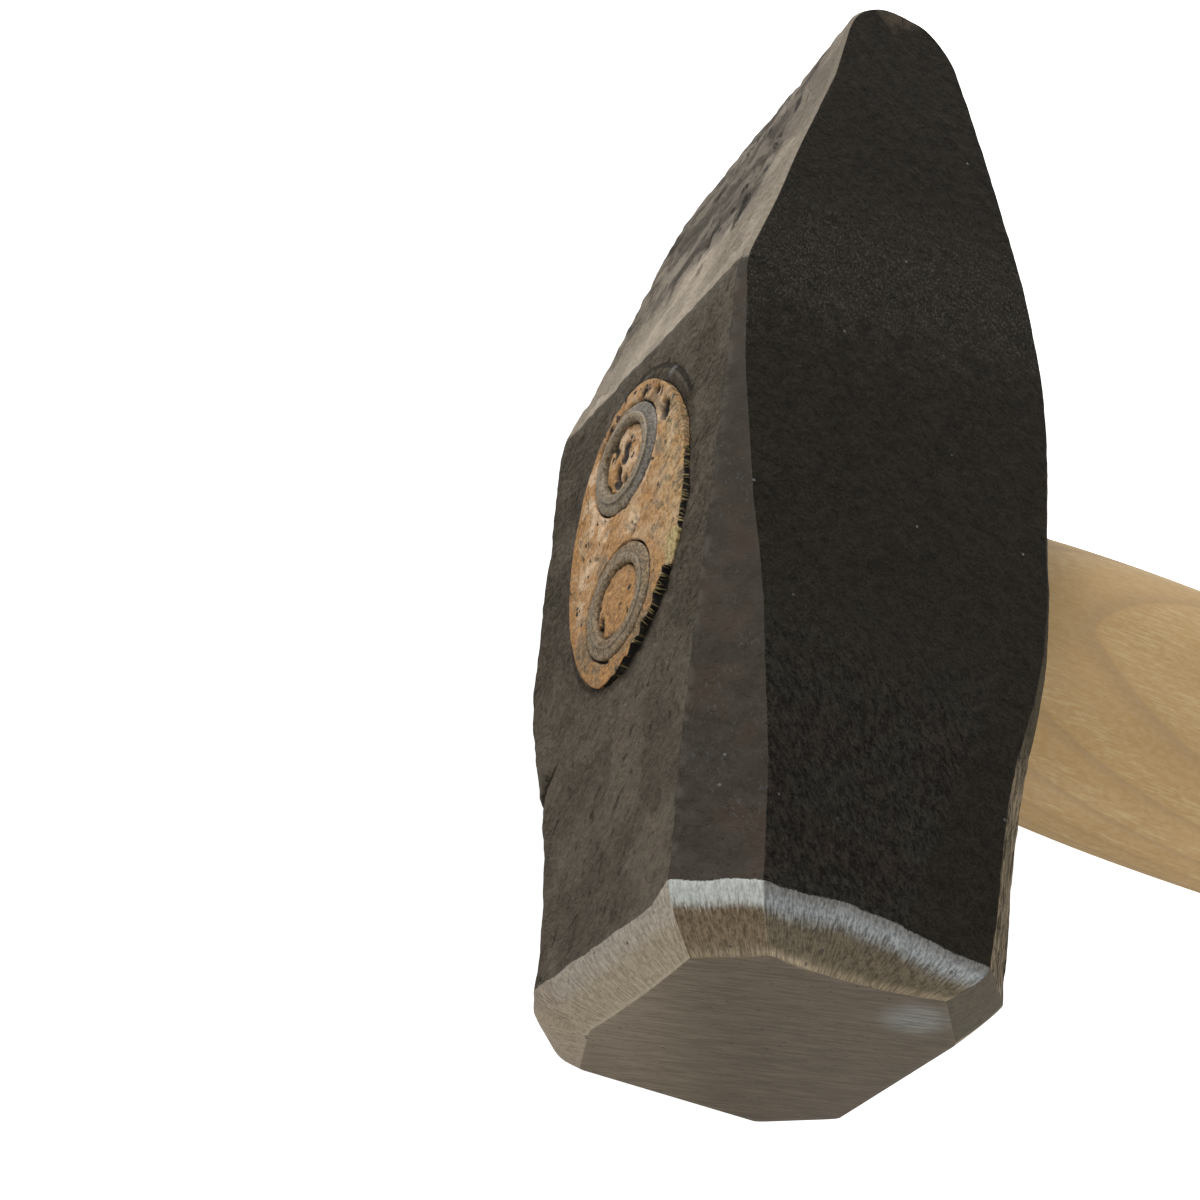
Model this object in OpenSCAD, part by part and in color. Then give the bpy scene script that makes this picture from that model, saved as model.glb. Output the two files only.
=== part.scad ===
// Cross peen forging hammer: forged head, ash handle and two steel ring wedges.
// The hammer lies on one cheek. X runs along the handle towards the grip,
// Y runs along the head towards the peen, and Z is up through the cheeks.
// The origin is on the lower cheek, under the middle of the eye.

/* [Head] */
// Length of the head, from the striking face to the tip of the peen
head_length = 158; // [135:1:185]
// Distance from the striking face to the middle of the eye
eye_from_face = 66.5; // [58:0.5:76]
// Width from cheek to cheek just behind the ground bevel
poll_width = 47; // [42:0.5:50]
// Height from eye side to grip side just behind the ground bevel
poll_height = 47; // [42:0.5:50]
// Width from cheek to cheek at the eye
cheek_width = 50.8; // [47:0.2:58]
// Height of the head's eye side above the middle of the head
eye_side_height = 24.8; // [22:0.2:30]
// Height of the head's grip side below the middle of the head
grip_side_height = 25.8; // [22:0.2:30]
// Flat cheek between the middle of the eye and its start towards the striking face
cheek_fore = 21.5; // [15:0.5:30]
// Flat cheek between the middle of the eye and its end towards the peen
cheek_aft = 28.5; // [24:0.5:34]

/* [Striking face] */
// Width of the flat striking face from cheek to cheek
flat_width = 42.4; // [36:0.2:44]
// Height of the flat striking face from eye side to grip side
flat_height = 37; // [32:0.5:42]
// Corner cut of the flat striking face, along each edge
flat_corner = 7.4; // [4:0.2:12]
// Depth of the ground bevel round the striking face
bevel_depth = 5.5; // [3:0.5:9]
// How far the ground bevel bulges past a straight chamfer
bevel_bulge = 0.6; // [0:0.1:1.2]
// Corner cut of the poll behind the bevel, along each face
poll_corner = 8.2; // [4:0.2:12]
// Length of poll over which the corner cut keeps its full size
corner_run = 21; // [12:1:36]
// Distance from the striking face at which the corner cut has run out
corner_end = 72; // [50:1:90]
// Corner left on the edges past the run out
edge_break = 1.8; // [0.6:0.2:4]

/* [Peen] */
// Distance from the middle of the eye to the crest of the peen on the grip side
grip_crest = 38; // [32:0.5:48]
// Half length of the stretch that rounds the crest on the grip side
grip_crest_blend = 12; // [4:0.5:16]
// Half length of the stretch that rounds the crest on the eye side
eye_crest_blend = 1.5; // [0.5:0.5:6]
// Radius of the peen's rounded nose
nose_radius = 10.2; // [6:0.2:14]
// How far the nose lies towards the grip from the middle of the head
nose_offset = 1.8; // [0:0.2:4]
// Width of the peen at its tip
nose_width = 39.4; // [32:0.2:48]
// How far the nose lies towards the upper cheek from the middle of the head
nose_skew = 3.3; // [0:0.1:4]
// Corner left on the edges of the peen at its nose
nose_break = 0.8; // [0.4:0.2:2]
// Radius that rounds the two ends of the nose
nose_end_radius = 3; // [1:0.5:8]

/* [Eye] */
// Length of the oval eye at the eye side
eye_length = 46.5; // [42:0.5:52]
// Breadth of the oval eye at the eye side
eye_breadth = 30.5; // [26:0.5:34]
// Length of the oval eye where the handle leaves the head
eye_throat_length = 43; // [38:0.5:48]
// Breadth of the oval eye where the handle leaves the head
eye_throat_breadth = 28; // [24:0.5:32]
// Gap between the handle and the wall of the eye
eye_clearance = 0.1; // [0.05:0.05:0.3]

/* [Handle] */
// Length of the handle from its end in the eye to its grip end
handle_length = 400; // [300:5:600]
// Lean of the handle towards the peen, in degrees
handle_lean = 2; // [0:0.5:4]
// How far the end of the handle stands out of the eye
end_grain_proud = 0.4; // [0:0.1:2]
// Distance from the middle of the eye to the shoulder
shoulder_at = 80; // [60:1:110]
// Height of the oval handle at the shoulder
shoulder_height = 46.4; // [38:0.2:54]
// Breadth of the oval handle at the shoulder
shoulder_breadth = 31; // [26:0.5:36]
// Distance from the middle of the eye to the waist
waist_at = 225; // [150:5:260]
// Height of the oval handle at the waist
waist_height = 37; // [30:0.5:44]
// Breadth of the oval handle at the waist
waist_breadth = 27; // [22:0.5:32]
// Distance from the grip end back to the thickest part of the grip
grip_from_end = 42; // [25:1:60]
// Height of the oval handle at the grip
grip_height = 43; // [34:0.5:50]
// Breadth of the oval handle at the grip
grip_breadth = 31; // [26:0.5:36]
// Radius that rounds the grip end
end_radius = 8; // [3:0.5:12]

/* [Ring wedges] */
// Outer diameter of a ring wedge at its struck end
ring_outer = 16.4; // [13:0.2:17.4]
// Bore of a ring wedge
ring_bore = 10.6; // [7:0.2:11.4]
// Wall of a ring wedge at its driven edge
ring_edge = 0.7; // [0.4:0.1:1.4]
// Depth that a ring wedge is driven into the wood
ring_depth = 14; // [8:0.5:20]
// Wood left between a ring wedge and the end of the eye
ring_margin = 3.6; // [2:0.2:4.4]
// How far both ring wedges sit towards the peen from the middle of the eye
ring_shift = 1.1; // [0:0.1:1.8]
// How far both ring wedges sit towards the lower cheek
ring_drop = 1.3; // [0:0.1:2.4]
// How far a ring wedge stands out past the end grain
ring_proud = 0.1; // [0:0.1:1]
// Gap between a ring wedge and the wood
ring_clearance = 0.05; // [0:0.05:0.2]

/* [Hidden] */

// Distances from the striking face
cheek_start = eye_from_face - cheek_fore;
cheek_end = eye_from_face + cheek_aft;
grip_crest_at = eye_from_face + grip_crest;
nose_centre = [nose_offset, head_length - nose_radius];

// Steps of the curved stretches
bevel_steps = 4;
swell_steps = 8;
crest_steps = 3;
nose_steps = 7;
oval_sides = 48;
ring_sides = 48;
blend_steps = 7;

// Slack that lets a cutting tool run past a face
overcut = 5;

// A cutting outline reaches this far out past the head
reach = head_length;

function mix(a, b, t) = a + (b - a) * t;
function ease(t) = let (u = min(max(t, 0), 1)) u * u * (3 - 2 * u);

// Half size of the poll at the distance y, rising through the bevel and the swell to the cheek
function poll_half(y, flat, block, cheek) =
    y < bevel_depth
        ? let (t = y / bevel_depth) mix(flat, block, t) + 4 * bevel_bulge * t * (1 - t)
        : mix(block, cheek, ease((y - bevel_depth) / (cheek_start - bevel_depth)));

// Point where a line from a crest touches the nose, on the side -1 or 1
function nose_touch(crest, side) =
    let (
        run = nose_centre - crest,
        far = norm(run),
        turn = atan2(run.y, run.x) + side * asin(nose_radius / far) * -1,
        line = sqrt(far * far - nose_radius * nose_radius)
    )
    crest + line * [cos(turn), sin(turn)];

eye_crest = [-eye_side_height, cheek_end];
grip_crest_point = [grip_side_height, grip_crest_at];
eye_touch = nose_touch(eye_crest, -1);
grip_touch = nose_touch(grip_crest_point, 1);

// Height of the head at the distance y, measured out to the side -1 or 1
function side_half(y, side) =
    let (
        top = side < 0 ? eye_side_height : grip_side_height,
        crest = side < 0 ? eye_crest : grip_crest_point,
        touch = side < 0 ? eye_touch : grip_touch,
        blend = side < 0 ? eye_crest_blend : grip_crest_blend,
        fall = side * (crest.x - touch.x) / (touch.y - crest.y),
        past = y - crest.y,
        rise = min(max(y - nose_centre.y, -nose_radius), nose_radius)
    )
    past < -blend
        ? poll_half(y, flat_height / 2, poll_height / 2, top)
        : past < blend
            ? top - fall * pow(past + blend, 2) / (4 * blend)
            : y < touch.y
                ? top - fall * past
                : side * nose_centre.x + sqrt(nose_radius * nose_radius - rise * rise);

// Half width of the head out to the upper cheek, up 1, or the lower one, up -1, at the distance y
function cheek_half(y, up) =
    let (
        t = max(y - cheek_end, 0) / (head_length - cheek_end),
        past = max(y - head_length + nose_end_radius, 0),
        taper = mix(cheek_width / 2, nose_width / 2 + up * nose_skew, t)
    )
    y < cheek_start
        ? poll_half(y, flat_width / 2, poll_width / 2, cheek_width / 2)
        : taper - nose_end_radius + sqrt(nose_end_radius * nose_end_radius - past * past);

// Corner cut along each face, at the distance y
function corner_cut(y) =
    y < bevel_depth
        ? mix(flat_corner, poll_corner, y / bevel_depth)
        : y < corner_end
            ? mix(poll_corner, edge_break, max(y - corner_run, 0) / (corner_end - corner_run))
            : mix(edge_break, nose_break, max(y - cheek_end, 0) / (head_length - cheek_end));

// Distance of a corner facet from the middle of the head, on the side -1 or 1, up -1 or 1
function corner_half(y, side, up) = (side_half(y, side) + cheek_half(y, up) - corner_cut(y)) / sqrt(2);

// Numbers in rising order, each kept once
function sorted(v) =
    len(v) < 2
        ? v
        : concat(
            sorted([for (x = v) if (x < v[0]) x]),
            [v[0]],
            sorted([for (x = v) if (x > v[0]) x])
        );

// Distances from the face at which the outlines have their points
bevel_at = [for (i = [0:bevel_steps]) bevel_depth * i / bevel_steps];
swell_at = sorted(concat(
    [for (i = [1:swell_steps]) mix(bevel_depth, cheek_start, i / swell_steps)],
    [min(max(corner_run, bevel_depth), cheek_start)]
));
nose_end_at = [for (i = [0:nose_steps]) head_length - nose_end_radius * (1 - sin(90 * i / nose_steps))];
plan_at = sorted(concat(bevel_at, swell_at, [cheek_end], nose_end_at));

function side_at(side) =
    let (
        crest = side < 0 ? eye_crest : grip_crest_point,
        touch = side < 0 ? eye_touch : grip_touch,
        blend = side < 0 ? eye_crest_blend : grip_crest_blend,
        first = asin((touch.y - nose_centre.y) / nose_radius)
    )
    sorted(concat(
        bevel_at,
        swell_at,
        [for (i = [-crest_steps:crest_steps]) crest.y + blend * i / crest_steps],
        [for (i = [0:nose_steps]) nose_centre.y + nose_radius * sin(mix(first, 90, i / nose_steps))]
    ));

// The head as seen across the cheeks
module side_outline() {
    eye_side = [for (y = side_at(-1)) [-side_half(y, -1), y]];
    grip_side = [for (y = side_at(1)) [side_half(y, 1), y]];
    // Both sides end in the same point at the tip
    last = len(grip_side) - 2;
    polygon(concat(eye_side, [for (i = [last:-1:0]) grip_side[i]]));
}

// The head as seen down the handle, its width across and its length upwards
module plan_outline() {
    upper = [for (y = plan_at) [-cheek_half(y, 1), y]];
    lower = [for (y = plan_at) [cheek_half(y, -1), y]];
    last = len(lower) - 1;
    polygon(concat(upper, [for (i = [last:-1:0]) lower[i]]));
}

// Half plane that trims one corner, its edge at the corner facet
module corner_outline(side, up) {
    edge = [for (y = sorted(concat(side_at(side), plan_at, [corner_end]))) [corner_half(y, side, up), y]];
    polygon(concat(
        [[-reach, -overcut], [edge[0].x, -overcut]],
        edge,
        [[edge[len(edge) - 1].x, head_length + overcut], [-reach, head_length + overcut]]
    ));
}

// One corner's trimming block, for the corner towards the side and up that are given
module corner_block(side, up) {
    rotate([0, -atan2(up, side), 0])
        translate([0, 0, -reach])
            linear_extrude(2 * reach)
                corner_outline(side, up);
}

// Solid whose oval section changes along X, from a list of [x, half height, half breadth]
module oval_loft(sections) {
    rings = len(sections);
    points = [
        for (s = sections)
            for (i = [0:oval_sides - 1])
                let (turn = 360 * i / oval_sides)
                [s[0], s[1] * cos(turn), s[2] * sin(turn)]
    ];
    walls = [
        for (r = [0:rings - 2])
            for (i = [0:oval_sides - 1])
                let (
                    j = (i + 1) % oval_sides,
                    a = r * oval_sides + i,
                    b = r * oval_sides + j
                )
                for (face = [[a, b + oval_sides, b], [a, a + oval_sides, b + oval_sides]]) face
    ];
    first = [for (i = [0:oval_sides - 1]) i];
    last = [for (i = [oval_sides - 1:-1:0]) (rings - 1) * oval_sides + i];
    polyhedron(points, concat(walls, [first, last]));
}

// Size of the eye at x along its axis, as [half height, half breadth]
function eye_half(x) =
    let (t = (x + eye_side_height) / (eye_side_height + grip_side_height))
    [mix(eye_length, eye_throat_length, t) / 2, mix(eye_breadth, eye_throat_breadth, t) / 2];

function eye_section(x, gap) = [x, eye_half(x)[0] - gap, eye_half(x)[1] - gap];

// Everything in the eye shares its middle and its lean
module in_eye() {
    translate([0, 0, cheek_width / 2])
        rotate([0, 0, handle_lean])
            children();
}

module eye_hole() {
    in_eye()
        oval_loft([
            eye_section(-eye_side_height - overcut, 0),
            eye_section(grip_side_height + overcut, 0)
        ]);
}

module hammer_head() {
    color("#2c2a27")
        difference() {
            translate([0, -eye_from_face, cheek_width / 2])
                intersection() {
                    translate([0, 0, -cheek_width])
                        linear_extrude(2 * cheek_width)
                            side_outline();
                    rotate([0, 90, 0])
                        translate([0, 0, -poll_height])
                            linear_extrude(2 * poll_height)
                                plan_outline();
                    corner_block(1, 1);
                    corner_block(1, -1);
                    corner_block(-1, 1);
                    corner_block(-1, -1);
                }
            eye_hole();
        }
}

// Sections that lead from one [x, half height, half breadth] to the next
function blend_sections(a, b) = [
    for (i = [1:blend_steps])
        let (t = i / blend_steps)
        [mix(a[0], b[0], t), mix(a[1], b[1], ease(t)), mix(a[2], b[2], ease(t))]
];

handle_top = -eye_side_height - end_grain_proud;
handle_end = handle_top + handle_length;
throat = eye_section(grip_side_height + overcut, eye_clearance);
shoulder = [shoulder_at, shoulder_height / 2, shoulder_breadth / 2];
waist = [waist_at, waist_height / 2, waist_breadth / 2];
grip = [handle_end - grip_from_end, grip_height / 2, grip_breadth / 2];

// Rounded grip end, drawn in along a quarter circle
function end_section(turn) = [
    handle_end - end_radius * (1 - sin(turn)),
    grip[1] - end_radius * (1 - cos(turn)),
    grip[2] - end_radius * (1 - cos(turn))
];

module handle() {
    color("#d8bd92")
        difference() {
            in_eye()
                oval_loft(concat(
                    [eye_section(handle_top, eye_clearance), throat],
                    blend_sections(throat, shoulder),
                    blend_sections(shoulder, waist),
                    blend_sections(waist, grip),
                    [for (i = [0:nose_steps]) end_section(90 * i / nose_steps)]
                ));
            at_ring(1) ring_body(ring_clearance, overcut);
            at_ring(-1) ring_body(ring_clearance, overcut);
        }
}

ring_offset = eye_length / 2 - ring_margin - ring_outer / 2;
ring_top = handle_top - ring_proud;

// Place of a ring wedge, on the side 1 towards the peen or -1 towards the face
module at_ring(side) {
    in_eye()
        translate([ring_top, side * ring_offset + ring_shift, -ring_drop])
            rotate([0, 90, 0])
                children();
}

// Ring with a straight bore and a tapered outside, grown by a gap and carried up by rise
module ring_body(gap, rise) {
    bore = ring_bore / 2 - gap;
    outer = ring_outer / 2 + gap;
    edge = ring_bore / 2 + ring_edge + gap;
    rotate_extrude($fn = ring_sides)
        polygon([
            [bore, -rise],
            [outer, -rise],
            [outer, 0],
            [edge, ring_depth + gap],
            [bore, ring_depth + gap]
        ]);
}

module ring_wedge(side) {
    color("#6f675d")
        at_ring(side)
            rotate_extrude($fn = ring_sides)
                polygon([
                    [ring_bore / 2, 0],
                    [ring_outer / 2, 0],
                    [ring_bore / 2 + ring_edge, ring_depth],
                    [ring_bore / 2, ring_depth]
                ]);
}

module ring_wedge_peen() { ring_wedge(1); }
module ring_wedge_face() { ring_wedge(-1); }

hammer_head();
handle();
ring_wedge_peen();
ring_wedge_face();
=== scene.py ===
import math

import bmesh
import bpy
import numpy as np
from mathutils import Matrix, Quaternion, Vector, noise

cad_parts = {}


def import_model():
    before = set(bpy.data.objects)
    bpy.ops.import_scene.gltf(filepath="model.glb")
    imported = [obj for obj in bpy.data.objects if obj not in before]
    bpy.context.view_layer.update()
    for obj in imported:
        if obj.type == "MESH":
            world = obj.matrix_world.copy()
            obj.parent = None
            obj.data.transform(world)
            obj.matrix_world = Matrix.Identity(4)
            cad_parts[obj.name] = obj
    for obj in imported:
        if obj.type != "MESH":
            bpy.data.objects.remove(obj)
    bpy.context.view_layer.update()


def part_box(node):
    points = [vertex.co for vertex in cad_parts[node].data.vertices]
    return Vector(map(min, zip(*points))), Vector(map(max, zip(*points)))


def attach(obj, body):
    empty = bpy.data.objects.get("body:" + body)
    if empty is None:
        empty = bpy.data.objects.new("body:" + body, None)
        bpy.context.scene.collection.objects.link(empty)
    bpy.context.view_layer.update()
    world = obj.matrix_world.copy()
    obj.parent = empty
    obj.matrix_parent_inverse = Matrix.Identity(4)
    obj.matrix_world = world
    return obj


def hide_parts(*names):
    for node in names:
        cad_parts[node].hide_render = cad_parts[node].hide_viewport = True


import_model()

MM = 0.001

# The head's own box gives its length, its width and the places of its faces
head_low, head_high = (Vector(corner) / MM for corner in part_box("hammer_head"))
handle_low, handle_high = (Vector(corner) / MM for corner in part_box("handle"))
HEAD_LENGTH = head_high.y - head_low.y
CHEEK_WIDTH = head_high.z - head_low.z
EYE_SIDE_HEIGHT = -head_low.x
GRIP_SIDE_HEIGHT = head_high.x
EYE_FROM_FACE = -head_low.y
MIDDLE = CHEEK_WIDTH / 2

# Head, in millimetres from the striking face
POLL_HALF = 23.5
CHEEK_START = 45.0
CHEEK_END = 95.0
GRIP_CREST_AT = 104.5
BEVEL_DEPTH = 5.5
BEVEL_BULGE = 0.55

# Peen
NOSE_RADIUS = 10.2
NOSE_OFFSET = 1.8
NOSE_HALF_UP = 23.0
NOSE_HALF_DOWN = 16.2
NEAR_END_RADIUS = 0.9
FAR_END_RADIUS = 3.0
FAR_CHEEK_BOW = 1.4
FAR_CHEEK_SWAY = 0.7

# Eye and handle
EYE_LENGTH = 46.5
EYE_BREADTH = 30.5
EYE_THROAT_LENGTH = 43.0
EYE_THROAT_BREADTH = 28.0
EYE_CLEARANCE = 0.1
EYE_SHIFT = 0.8
HANDLE_LEAN = math.radians(2)
END_GRAIN_PROUD = 0.4

# Ring wedges
RING_OUTER = 16.4
RING_BORE = 10.6
RING_EDGE = 0.7
RING_DEPTH = 14.0
RING_OFFSET = 11.45
RING_SHIFT = 1.1
RING_DROP = 1.3
RING_PROUD = 0.1


def mix(a, b, t):
    return a + (b - a) * t


def ease(t):
    u = np.clip(t, 0, 1)
    return u * u * (3 - 2 * u)


def along(points, d):
    """Value at the distance d on a line through (distance, value) points."""
    at, values = zip(*points)
    return np.interp(d, at, values)


def noise_at(points, size, seed):
    """Smooth noise from -1 to 1 at each point, its lumps as large as size along each axis."""
    scaled = points / np.asarray(size, float) + seed * 17.31
    return np.array([noise.noise(p) for p in scaled])


def furrows(points, size, seed, deep, low, most):
    """Hollows where smooth noise passes low: deep times what it has above it, up to most."""
    return deep * np.clip(noise_at(points, size, seed) - low, 0, most)


def bell(d, deep, middle, width):
    """A smooth rise of the height deep about the middle."""
    return deep * np.exp(-((d - middle) / width) ** 2)


def tidy_mesh(mesh, merge=1e-5):
    work = bmesh.new()
    work.from_mesh(mesh)
    bmesh.ops.remove_doubles(work, verts=work.verts, dist=merge)
    bmesh.ops.recalc_face_normals(work, faces=work.faces)
    work.to_mesh(mesh)
    work.free()
    mesh.shade_smooth()


def points_of(mesh):
    """The mesh's points, in millimetres."""
    at = np.zeros(len(mesh.vertices) * 3)
    mesh.vertices.foreach_get("co", at)
    return at.reshape(-1, 3) / MM


def set_points(mesh, at):
    mesh.vertices.foreach_set("co", (at * MM).ravel())


def add_mark(mesh, name, values):
    """A number on each point, which the materials read by its name."""
    layer = mesh.attributes.new(name, "FLOAT", "POINT")
    layer.data.foreach_set("value", np.asarray(values, np.float32).ravel())


def new_object(name, data):
    thing = bpy.data.objects.new(name, data)
    bpy.context.scene.collection.objects.link(thing)
    return thing


def mesh_from_rings(name, rings, marks):
    """A closed object from rings of points in millimetres, with the marks on its points."""
    rings = np.asarray(rings)
    index = np.arange(rings[..., 0].size).reshape(rings.shape[:2])
    onward = np.roll(index, -1, axis=1)
    faces = np.stack([index[:-1], onward[:-1], onward[1:], index[1:]], axis=-1)
    mesh = bpy.data.meshes.new(name)
    mesh.from_pydata((rings.reshape(-1, 3) * MM).tolist(), [], faces.reshape(-1, 4).tolist())
    for mark, values in marks.items():
        add_mark(mesh, mark, values)
    piece = new_object(name, mesh)
    tidy_mesh(mesh)
    return piece


class Socket:
    """A node's output; sums on it add Math nodes."""

    def __init__(self, board, link):
        self.board = board
        self.link = link

    def __add__(self, other):
        return self.board.maths("ADD", self, other)

    def __sub__(self, other):
        return self.board.maths("SUBTRACT", self, other)

    def __rsub__(self, other):
        return self.board.maths("SUBTRACT", other, self)

    def __mul__(self, other):
        return self.board.maths("MULTIPLY", self, other)

    def __truediv__(self, other):
        return self.board.maths("DIVIDE", self, other)

    __radd__ = __add__
    __rmul__ = __mul__


class Board:
    """A node tree, with one method that adds any node."""

    def __init__(self, tree):
        self.tree = tree

    def add(self, kind, settings=None, values=None, out=0):
        node = self.tree.nodes.new(kind)
        for name, value in (settings or {}).items():
            setattr(node, name, value)
        for name, value in (values or {}).items():
            self.feed(pick(node.inputs, name), value)
        return Socket(self, pick(node.outputs, out))

    def feed(self, socket, value):
        """Links or sets an input; a colour is given as (red, green, blue)."""
        if isinstance(value, Socket):
            self.tree.links.new(value.link, socket)
        elif socket.type == "RGBA":
            socket.default_value = (*value, 1)
        else:
            socket.default_value = value

    def end(self, kind, last):
        """Joins the last node to the tree's output."""
        output = self.tree.nodes.new(kind)
        self.tree.links.new(last.link, output.inputs[0])

    def maths(self, operation, *values, clamp=False):
        settings = {"operation": operation, "use_clamp": clamp}
        return self.add("ShaderNodeMath", settings, dict(enumerate(values)))

    def size_of(self, value):
        return self.maths("ABSOLUTE", value)

    def larger(self, a, b):
        return self.maths("MAXIMUM", a, b)

    def distance(self, *spans):
        """Length of a vector given by its parts."""
        return self.maths("SQRT", sum(span * span for span in spans))

    def band(self, value, low, high):
        """0 below low, 1 above high, eased between; high may be the lower number."""
        settings = {"interpolation_type": "SMOOTHSTEP"}
        values = {"Value": value, "From Min": low, "From Max": high}
        return self.add("ShaderNodeMapRange", settings, values)

    def ramp(self, value, low, high):
        """0 at low, 1 at high and straight between; high may be the lower number."""
        return self.add("ShaderNodeMapRange", values={"Value": value, "From Min": low, "From Max": high})

    def blend(self, share, a, b):
        return self.add("ShaderNodeMix", {"data_type": "RGBA"}, {"Factor": share, "A": a, "B": b}, "Result")

    def two(self, share, dark, light):
        """A colour that varies between two."""
        return self.blend(self.band(share, 0.4, 0.6), dark, light)

    def over(self, color, *layers):
        """A colour under layers, each given as (share, colour)."""
        for share, layer in layers:
            color = self.blend(share, color, layer)
        return color

    def vector(self, x, y, z):
        return self.add("ShaderNodeCombineXYZ", values={0: x, 1: y, 2: z})

    def split(self, vector, scale=1):
        """The three parts of a vector, as numbers."""
        parts = self.add("ShaderNodeSeparateXYZ", values={"Vector": vector})
        return [Socket(self, out) * scale for out in parts.link.node.outputs]

    def place(self, stretch=(1, 1, 1), turn=(0, 0, 0)):
        """The point's own place on the object, in millimetres, turned and then stretched."""
        at = self.add("ShaderNodeTexCoord", out="Object")
        if any(turn):
            at = self.add("ShaderNodeMapping", values={"Vector": at, "Rotation": turn})
        scale = tuple(1 / MM / s for s in stretch)
        return self.add("ShaderNodeVectorMath", {"operation": "MULTIPLY"}, {0: at, 1: scale})

    def noise(self, at, scale, detail=2, roughness=0.5, distortion=0):
        values = {"Vector": at, "Scale": scale, "Detail": detail,
                  "Roughness": roughness, "Distortion": distortion}
        return self.add("ShaderNodeTexNoise", values=values, out="Fac")

    def grain(self, scale, detail=2, roughness=0.5, distortion=0, stretch=(1, 1, 1), turn=(0, 0, 0)):
        """Noise over the piece, with scale lumps to the millimetre before they are stretched."""
        return self.noise(self.place(stretch, turn), scale, detail, roughness, distortion)

    def mark(self, name):
        return self.add("ShaderNodeAttribute", {"attribute_name": name}, out="Fac")

    def bump(self, height, strength, depth):
        values = {"Height": height, "Strength": strength, "Distance": depth}
        return self.add("ShaderNodeBump", values=values)

    def chance(self, size, stream, low, high):
        """A random number from low to high for each point, from the tree's own seed."""
        values = {"Min": float(low), "Max": float(high), "Seed": size["Seed"] + stream}
        return self.add("FunctionNodeRandomValue", {"data_type": "FLOAT"}, values, "Value")

    def position(self):
        return self.add("GeometryNodeInputPosition")

    def moved(self, mesh, x, y, z):
        """A mesh with each point moved to its place in millimetres."""
        values = {"Geometry": mesh, "Position": self.vector(x * MM, y * MM, z * MM)}
        return self.add("GeometryNodeSetPosition", values=values)

    def merged(self, mesh):
        return self.add("GeometryNodeMergeByDistance", values={"Geometry": mesh, "Distance": 1e-6})


def pick(sockets, name):
    """A node's socket by number, or the first one in use by its name."""
    if isinstance(name, int):
        return sockets[name]
    return next(s for s in sockets if s.name == name and s.enabled)


# Head

EYE_SIDE, NEAR_EYE, NEAR_CHEEK, NEAR_GRIP, GRIP_SIDE, FAR_GRIP, FAR_CHEEK, FAR_EYE = range(8)

# Corner cut along each face, as (distance, cut) points, for each of the four corners
CORNER_CUTS = {
    NEAR_EYE: [(5, 7.6), (22, 7.4), (76, 2.3), (90, 1.5), (97, 0.8), (158, 0.6)],
    NEAR_GRIP: [(5, 7.3), (12, 6.0), (20, 5.6), (52, 1.6), (62, 1.0), (158, 0.8)],
    FAR_GRIP: [(5, 8.2), (22, 6.8), (60, 1.4), (158, 0.8)],
    FAR_EYE: [(5, 6.8), (17, 7.4), (33, 6.7), (50, 1.2), (96, 1.2), (158, 0.8)],
}

# How much further the corner beside the eye side cuts into the near cheek
NEAR_EYE_WIDENING = [(5, 1.1), (44, 1.3), (51, 0.9), (57, 0.3), (80, -0.4), (97, 0)]

# How far the slope's two edges stand out from a plain wedge, as it is forged a little askew
SLOPE_EDGES = {
    NEAR_EYE: [(105, 0), (119, -0.1), (128, -0.27), (138, -0.5), (149, 0.4), (155, 0.3), (157.5, 0)],
    FAR_EYE: [(105, 0), (118, 0.1), (124, 0.27), (136, 0.65), (143, 0), (151, -1.5), (155, -1), (157.5, 0)],
}

# Where the eye side, -1, and the grip side, 1, are drawn in, as (depth, distance, width)
HOLLOWS = {
    -1: [(0.28, 108, 8)],
    1: [(1.9, 33, 13), (0.45, 65, 15), (1.1, 109, 18)],
}

# How far a face of the head bends round its crest to the peen's slope, on each side of the crest
CREST_BENDS = {-1: 2.5, 1: 12.0}

# Corners of the flat striking face as (height, width), in the order of the head's edges
FLAT = {
    (FAR_EYE, EYE_SIDE): (-18.1, -10.9),
    (EYE_SIDE, NEAR_EYE): (-18.5, 13.4),
    (NEAR_EYE, NEAR_CHEEK): (-11.5, 19.7),
    (NEAR_CHEEK, NEAR_GRIP): (10.6, 22.6),
    (NEAR_GRIP, GRIP_SIDE): (18.3, 13.8),
    (GRIP_SIDE, FAR_GRIP): (19.5, -13.3),
    (FAR_GRIP, FAR_CHEEK): (12.0, -20.8),
    (FAR_CHEEK, FAR_EYE): (-13.7, -21.4),
}

# How far an edge of the flat bows inwards at its middle
FLAT_BOWS = {NEAR_CHEEK: 1.4, EYE_SIDE: 0.4}

# How full the bevel is under each face, flat at 0; the far corner is almost a round
BEVEL_BULGES = {FAR_EYE: 3.2, FAR_CHEEK: 1.6, NEAR_GRIP: 0.3, GRIP_SIDE: 0.1}

# Points across each face of the octagonal head
ACROSS = {
    EYE_SIDE: 82, NEAR_EYE: 14, NEAR_CHEEK: 84, NEAR_GRIP: 12,
    GRIP_SIDE: 58, FAR_GRIP: 8, FAR_CHEEK: 58, FAR_EYE: 10,
}

# How much further the ground bevel reaches up the near cheek, as (distance, turn in degrees, width)
BEVEL_REACH = (2.3, 98, 23)

# The same for the corner beside the eye side, with the turns between which it rises and falls
CORNER_REACH = 2.0
CORNER_RISE = (112, 132)
CORNER_FALL = (143, 150)

# Middle of the forging lap's crease, from the face and across the head, its slant and its reach
LAP_AT = 36.0
LAP_WIDTH_AT = -16.0
LAP_SLANT = 0.75
LAP_FAR_END = -27

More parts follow.
